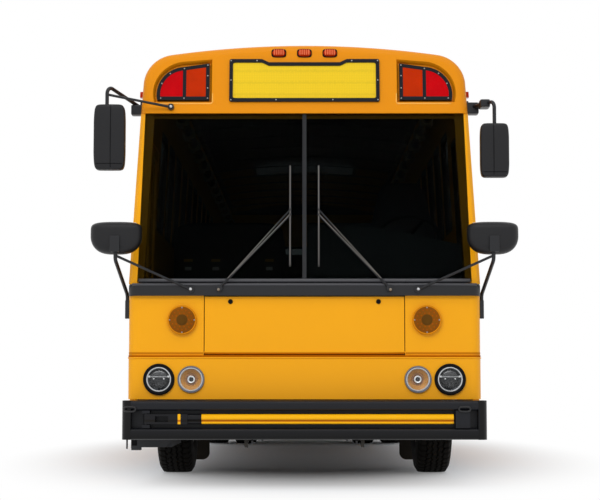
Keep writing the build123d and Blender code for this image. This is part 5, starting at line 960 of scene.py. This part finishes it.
borderOut = arm["sheet"] / 2 + arm["film"]
outside, inward = (octagonRing(arm["x"] + way * borderOut) for way in (1, -1))
border = joinShapes([(outside[0], outside[1][:, ::-1]), inward])
addPiece("stopArmBorder", border, "stopWhite", "stop_blade", smooth=False)
armLamps = [spun([(0, 0.04), (0.006, 0.04), (0.014, 0.03), (0.017, 0.0)], 32,
                 (arm["x"] + way * arm["sheet"] / 2, armMiddle, arm["z"] + z), (way, 0, 0))
            for way in (1, -1) for z in (arm["lampZ"], -arm["lampZ"])]
addPiece("stopArmLamps", joinShapes(armLamps), "redLens", "stop_blade")
print("trim made")

# Front fittings: windshield gasket, panel latches, seals, beads and bolts
front = dict(gasket=(1.15, -5.338, 1.427), gasketRadius=0.016, cowl=(1.19, -5.381, 1.3985), cowlRadius=0.009,
             latch=(0.512, panelFace["upper"], 1.282),
             bolts=((0.785, -5.404, 1.366), (-0.785, -5.404, 1.366)), capBolt=(-0.939, 2.654, 0.026))
frontStrips = (
    # piece, finish, slot, body, low corner, high corner
    ("headerReveal", "busYellow", "yellow_paint", "body", (-1.07, -5.215, 2.582), (1.07, -5.205, 2.605)),
    ("skirtSeal", "bezelBlack", "black_plastic", "body", (-1.15, -5.366, 0.586), (1.15, -5.354, 0.6086)),
    ("doorEdgeSeal", "bezelBlack", "black_plastic", "entrance_front", (-1.2212, -5.0826, 0.262),
     (-1.165, -5.0797, 0.47)),
)
strip = np.linspace(-1, 1, 41)
# the gasket and the cowl bead are lighter than black rubber, a painted highlight along their rounded faces
for name, (half, y, z), radius, sides in (("windshieldGasket", front["gasket"], front["gasketRadius"], 16),
                                          ("cowlBead", front["cowl"], front["cowlRadius"], 14)):
    addPiece(name, tube(pathOf(half * strip, y, z), radius, sides), "sealHighlightGrey")
latchProfile = [(0, 0.0165), (0.008, 0.0165), (0.0095, 0.0145), (0.0085, 0.006), (0.0085, 0.0)]
latchShape = spun(latchProfile, 28, front["latch"], (0, -1, 0))
addPiece("panelLatches", bothSides(latchShape), "bezelBlack", "access_lid")
for name, coat, slot, body, low, high in frontStrips:
    addPiece(name, boxShape(low, high), coat, body, smooth=False)
bolt = spun([(0, 0.011), (0.007, 0.01), (0.01, 0.006), (0.0105, 0.0)], 12, (0, 0, 0), (0, -1, 0))
boltPlaces = [*front["bolts"], onCap(*front["capBolt"])]
addPiece("pivotBolts", repeatShape(bolt, boltPlaces), "satinSilver")

# Wipers: a steel spine on each blade and an edge strip on each arm, light as painted highlights, and a nut at
# the pivot
wiper = dict(blade=(0.1, 1.53, 2.238, 0.0285), footY=-5.403, tipOut=0.024, glassY=-5.33, glassZ=1.425,
             rake=math.radians(4.5), spine=0.003, edge=0.0024, nut=(0.592, -5.4185, 1.362),
             arms=((0.587, 1.372, 0.092, 1.898, 0.008), (0.557, 1.408, 0.092, 1.934, 0.006)))


def glassFace(z):
    return wiper["glassY"] + math.tan(wiper["rake"]) * (np.asarray(z, float) - wiper["glassZ"])


bladeX, bladeLow, bladeHigh, bladeOut = wiper["blade"]
bladeZ = np.linspace(bladeLow, bladeHigh, 24)
edges = [tube(pathOf(bladeX, glassFace(bladeZ) - bladeOut, bladeZ), wiper["spine"], 8)]
for footX, footZ, tipX, tipZ, rodRadius in wiper["arms"]:
    share = np.linspace(0.06, 0.98, 16)
    tipY = glassFace(tipZ) - wiper["tipOut"]
    y = wiper["footY"] + (tipY - wiper["footY"]) * share - 0.9 * rodRadius
    z = footZ + (tipZ - footZ) * share + 0.4 * rodRadius
    edges.append(tube(pathOf(footX + (tipX - footX) * share, y, z), wiper["edge"], 8))
addPiece("wiperHighlightEdges", bothSides(joinShapes(edges)), "wiperHighlightSteel")
addPiece("wiperNuts", bothSides(repeatShape(bolt, [wiper["nut"]])), "pipeSteel")

# Crease between the panels: a rolled edge and side bands in darker yellow as painted shade, a dark seam band
# as painted shade, and a bead that faces up
crease = dict(hinge=(-5.337, 0.933), roll=0.0154, sheet=0.002, lid=0.689, side=0.7, seam=(0.899, 0.9115),
              beadZ=0.893, beadRadius=0.0055, proud=0.0008, cornerX=1.145, cornerRadius=0.075,
              wrap=math.radians(80))
hingeY, hingeZ = crease["hinge"]


def closedStrip(rows):
    # grid of closed profiles, with the ends drawn in to their middles
    ends = [np.broadcast_to(row.mean(axis=0), row.shape) for row in (rows[0], rows[-1])]
    points = np.concatenate([ends[0][None], rows, ends[1][None]])
    return points.reshape(-1, 3), gridFaces(len(points), rows.shape[1], closeColumns=True)


def rolledEdge(half):
    # quarter ring about the lid's hinge, from its front round to its underside, carried across the lid
    angle = np.linspace(0, np.pi / 2, 9)
    radius = np.repeat([crease["roll"], crease["roll"] - crease["sheet"]], 9)
    loop = np.concatenate([angle, angle[::-1]])
    x = np.linspace(-half, half, 9)[:, None]
    return closedStrip(pathOf(x, hingeY - radius * np.cos(loop), hingeZ - radius * np.sin(loop)))


def wrapLine(face, proud, start, z):
    # line at a distance from the front, straight from start and then round the corner by an arc
    c = crease
    angle = np.linspace(0, c["wrap"], 12)
    reach = c["cornerRadius"] + proud
    x = np.concatenate([np.linspace(start, c["cornerX"], 14)[:-1], c["cornerX"] + reach * np.sin(angle)])
    y = np.concatenate([np.full(13, face - proud), face + c["cornerRadius"] - reach * np.cos(angle)])
    return pathOf(x, y, z)


def wrapBand(face, start, low, high):
    # flat strip on the panel along that line
    out, back = crease["proud"], -crease["sheet"]
    lines = [wrapLine(face, proud, start, z)
             for proud, z in ((out, low), (out, high), (back, high), (back, low))]
    return bothSides(closedStrip(np.stack(lines, axis=1)))


# painted shade: the rolled edge and the side bands are a darker yellow than the panels
addPiece("creaseRollLid", rolledEdge(crease["lid"]), "paintedShadeYellow", "access_lid")
paintedShadeBand = wrapBand(panelFace["upper"], crease["side"], hingeZ - crease["roll"], hingeZ)
addPiece("creasePaintedShadeSides", paintedShadeBand, "paintedShadeYellow", smooth=False)
# painted shade: a dark brown band along the front and round the corners where the seam lies in shade
seamBand = wrapBand(panelFace["lower"], 0.0, *crease["seam"])
addPiece("creaseSeam", seamBand, "seamShadeBrown", smooth=False)
beadLine = wrapLine(panelFace["lower"], 0.0, 0.0, crease["beadZ"])
beadLine = np.concatenate([beadLine[:0:-1] * np.array([-1, 1, 1]), beadLine])
addPiece("creaseBead", tube(beadLine, crease["beadRadius"]), "busYellow")

# Bumper hooks: two flattened tow rings, a hanging pin and two tabs
hook = dict(rings=(-1.176, 1.078), ringY=-5.6015, ringZ=0.545, ringHalf=(0.038, 0.016), ringRadius=0.0075,
            pin=(-1.203, -5.5), pinZ=(0.35, 0.31, 0.276), pinRadius=0.006, tabs=(-0.352, 0.352),
            tabHalf=0.006, tabFront=-5.56, tabBack=-5.52, tabZ=(0.316, 0.345))


def ovalRing(x):
    # tube along a flattened oval in the plane of the bumper's face
    angle = np.linspace(0, 2 * np.pi, 48, endpoint=False)
    across, up = hook["ringHalf"]
    path = pathOf(x + across * signedPower(np.cos(angle), 0.7), hook["ringY"],
                  hook["ringZ"] + up * signedPower(np.sin(angle), 0.7))
    return tube(path, hook["ringRadius"], closed=True)


hooks = [ovalRing(x) for x in hook["rings"]]
hooks.append(tube(pathOf(*hook["pin"], hook["pinZ"]), hook["pinRadius"], 10))
hooks += [boxShape((x - hook["tabHalf"], hook["tabFront"], hook["tabZ"][0]),
                   (x + hook["tabHalf"], hook["tabBack"], hook["tabZ"][1])) for x in hook["tabs"]]
addPiece("bumperHooks", joinShapes(hooks), "satinBlack")
print("front fittings made")

# Camera, floor and light
shot = dict(height=0.742, distance=11.0, lens=95.6, tilt=4.66, yaw=0.16)
eye = bpy.data.objects.new("photoCamera", bpy.data.cameras.new("photoCamera"))
bpy.context.scene.collection.objects.link(eye)
eye.location = (0, panelFace["lower"] - shot["distance"], shot["height"])
eye.rotation_euler = (math.radians(90 + shot["tilt"]), 0, math.radians(shot["yaw"]))
eye.data.sensor_width = 36
eye.data.lens = shot["lens"]
eye.data.clip_end = 200
bpy.context.scene.camera = eye

studio = dict(floor=60.0, sky=0.62, white=(1, 1, 1, 1), squeeze=(1.0, 0.42, 0.0), fade=(1.3, 3.0),
              floorTones=((0.85, 0.875, 0.92, 1), (0.88, 0.905, 0.95, 1)))
lights = {
    # place, target, size, power, shown in reflections
    "keyLight": ((-2.0, -15.0, 7.5), (0, -5.3, 1.4), (9, 4), 465.0, False),
    "topLight": ((0, 0, 10.0), (0, 0.01, 0), (8, 14), 150.0, False),
    "stripLight": ((0, -9.8, 9.0), (0, -5.4, 1.2), (9, 0.8), 90.0, True),
}


def seenRays(tree):
    # 1 for rays from the camera and for those that mirrors and glass show, 0 for the light on the bus
    light = tree.nodes.new("ShaderNodeLightPath").outputs
    seen = mathStep(tree, "MAXIMUM", light["Is Camera Ray"], light["Is Glossy Ray"])
    return mathStep(tree, "MAXIMUM", seen, light["Is Transmission Ray"])


def floorFinish(name):
    # pale floor that keeps its shadow near the bus and is seen as white further out
    tree, shader = newMaterial(name)
    place = objectPlace(tree)
    cloud = addNode(tree, "TexNoise", Vector=place, Scale=0.6, Detail=3.0)
    pale = colourRamp(tree, cloud.outputs["Fac"], tuple(zip((0.0, 1.0), studio["floorTones"])))
    setInputs(tree, shader, Base_Color=pale.outputs["Color"], Roughness=0.8, Specular_IOR_Level=0.1)
    squeezed = vectorStep(tree, "MULTIPLY", {0: place, 1: studio["squeeze"]})["Vector"]
    away = vectorStep(tree, "LENGTH", {0: squeezed})["Value"]
    fade = addNode(tree, "MapRange", Value=away, From_Min=studio["fade"][0], From_Max=studio["fade"][1])
    fade.interpolation_type = "SMOOTHSTEP"
    seen = mathStep(tree, "MULTIPLY", fade.outputs["Result"], seenRays(tree))
    glow = addNode(tree, "Emission", Color=studio["white"], Strength=1.0)
    mixShaders(tree, seen, shader.outputs[0], glow.outputs[0], "Material Output")


floorFinish("paleFloor")
floorMesh = bpy.data.meshes.new("studioFloor")
edge = studio["floor"]
corners = [(-edge, -edge, 0), (edge, -edge, 0), (edge, edge, 0), (-edge, edge, 0)]
floorMesh.from_pydata(corners, [], [(0, 1, 2, 3)])
floorMesh.materials.append(finish["paleFloor"])
floorPiece = bpy.data.objects.new("studioFloor", floorMesh)
bpy.context.scene.collection.objects.link(floorPiece)

world = bpy.data.worlds.new("studioWorld")
bpy.context.scene.world = world
world.use_nodes = True
tree = world.node_tree
sky = setInputs(tree, tree.nodes["Background"], Color=studio["white"], Strength=studio["sky"])
white = addNode(tree, "Background", Color=studio["white"], Strength=1.0)
mixShaders(tree, seenRays(tree), sky.outputs[0], white.outputs[0], "World Output")


def softLight(name, place, target, size, power, glossy):
    # area light aimed at a target and hidden from the camera
    data = bpy.data.lights.new(name, "AREA")
    data.shape = "RECTANGLE"
    data.size, data.size_y = size
    data.energy = power
    item = bpy.data.objects.new(name, data)
    bpy.context.scene.collection.objects.link(item)
    item.location = place
    aim = np.asarray(target, float) - np.asarray(place, float)
    aim /= np.linalg.norm(aim)
    item.rotation_euler = (math.acos(-aim[2]), 0, math.atan2(-aim[0], aim[1]))
    item.visible_camera = False
    item.visible_glossy = glossy


for name, row in lights.items():
    softLight(name, *row)
bpy.context.scene.view_settings.view_transform = "Standard"
print("camera and light placed")
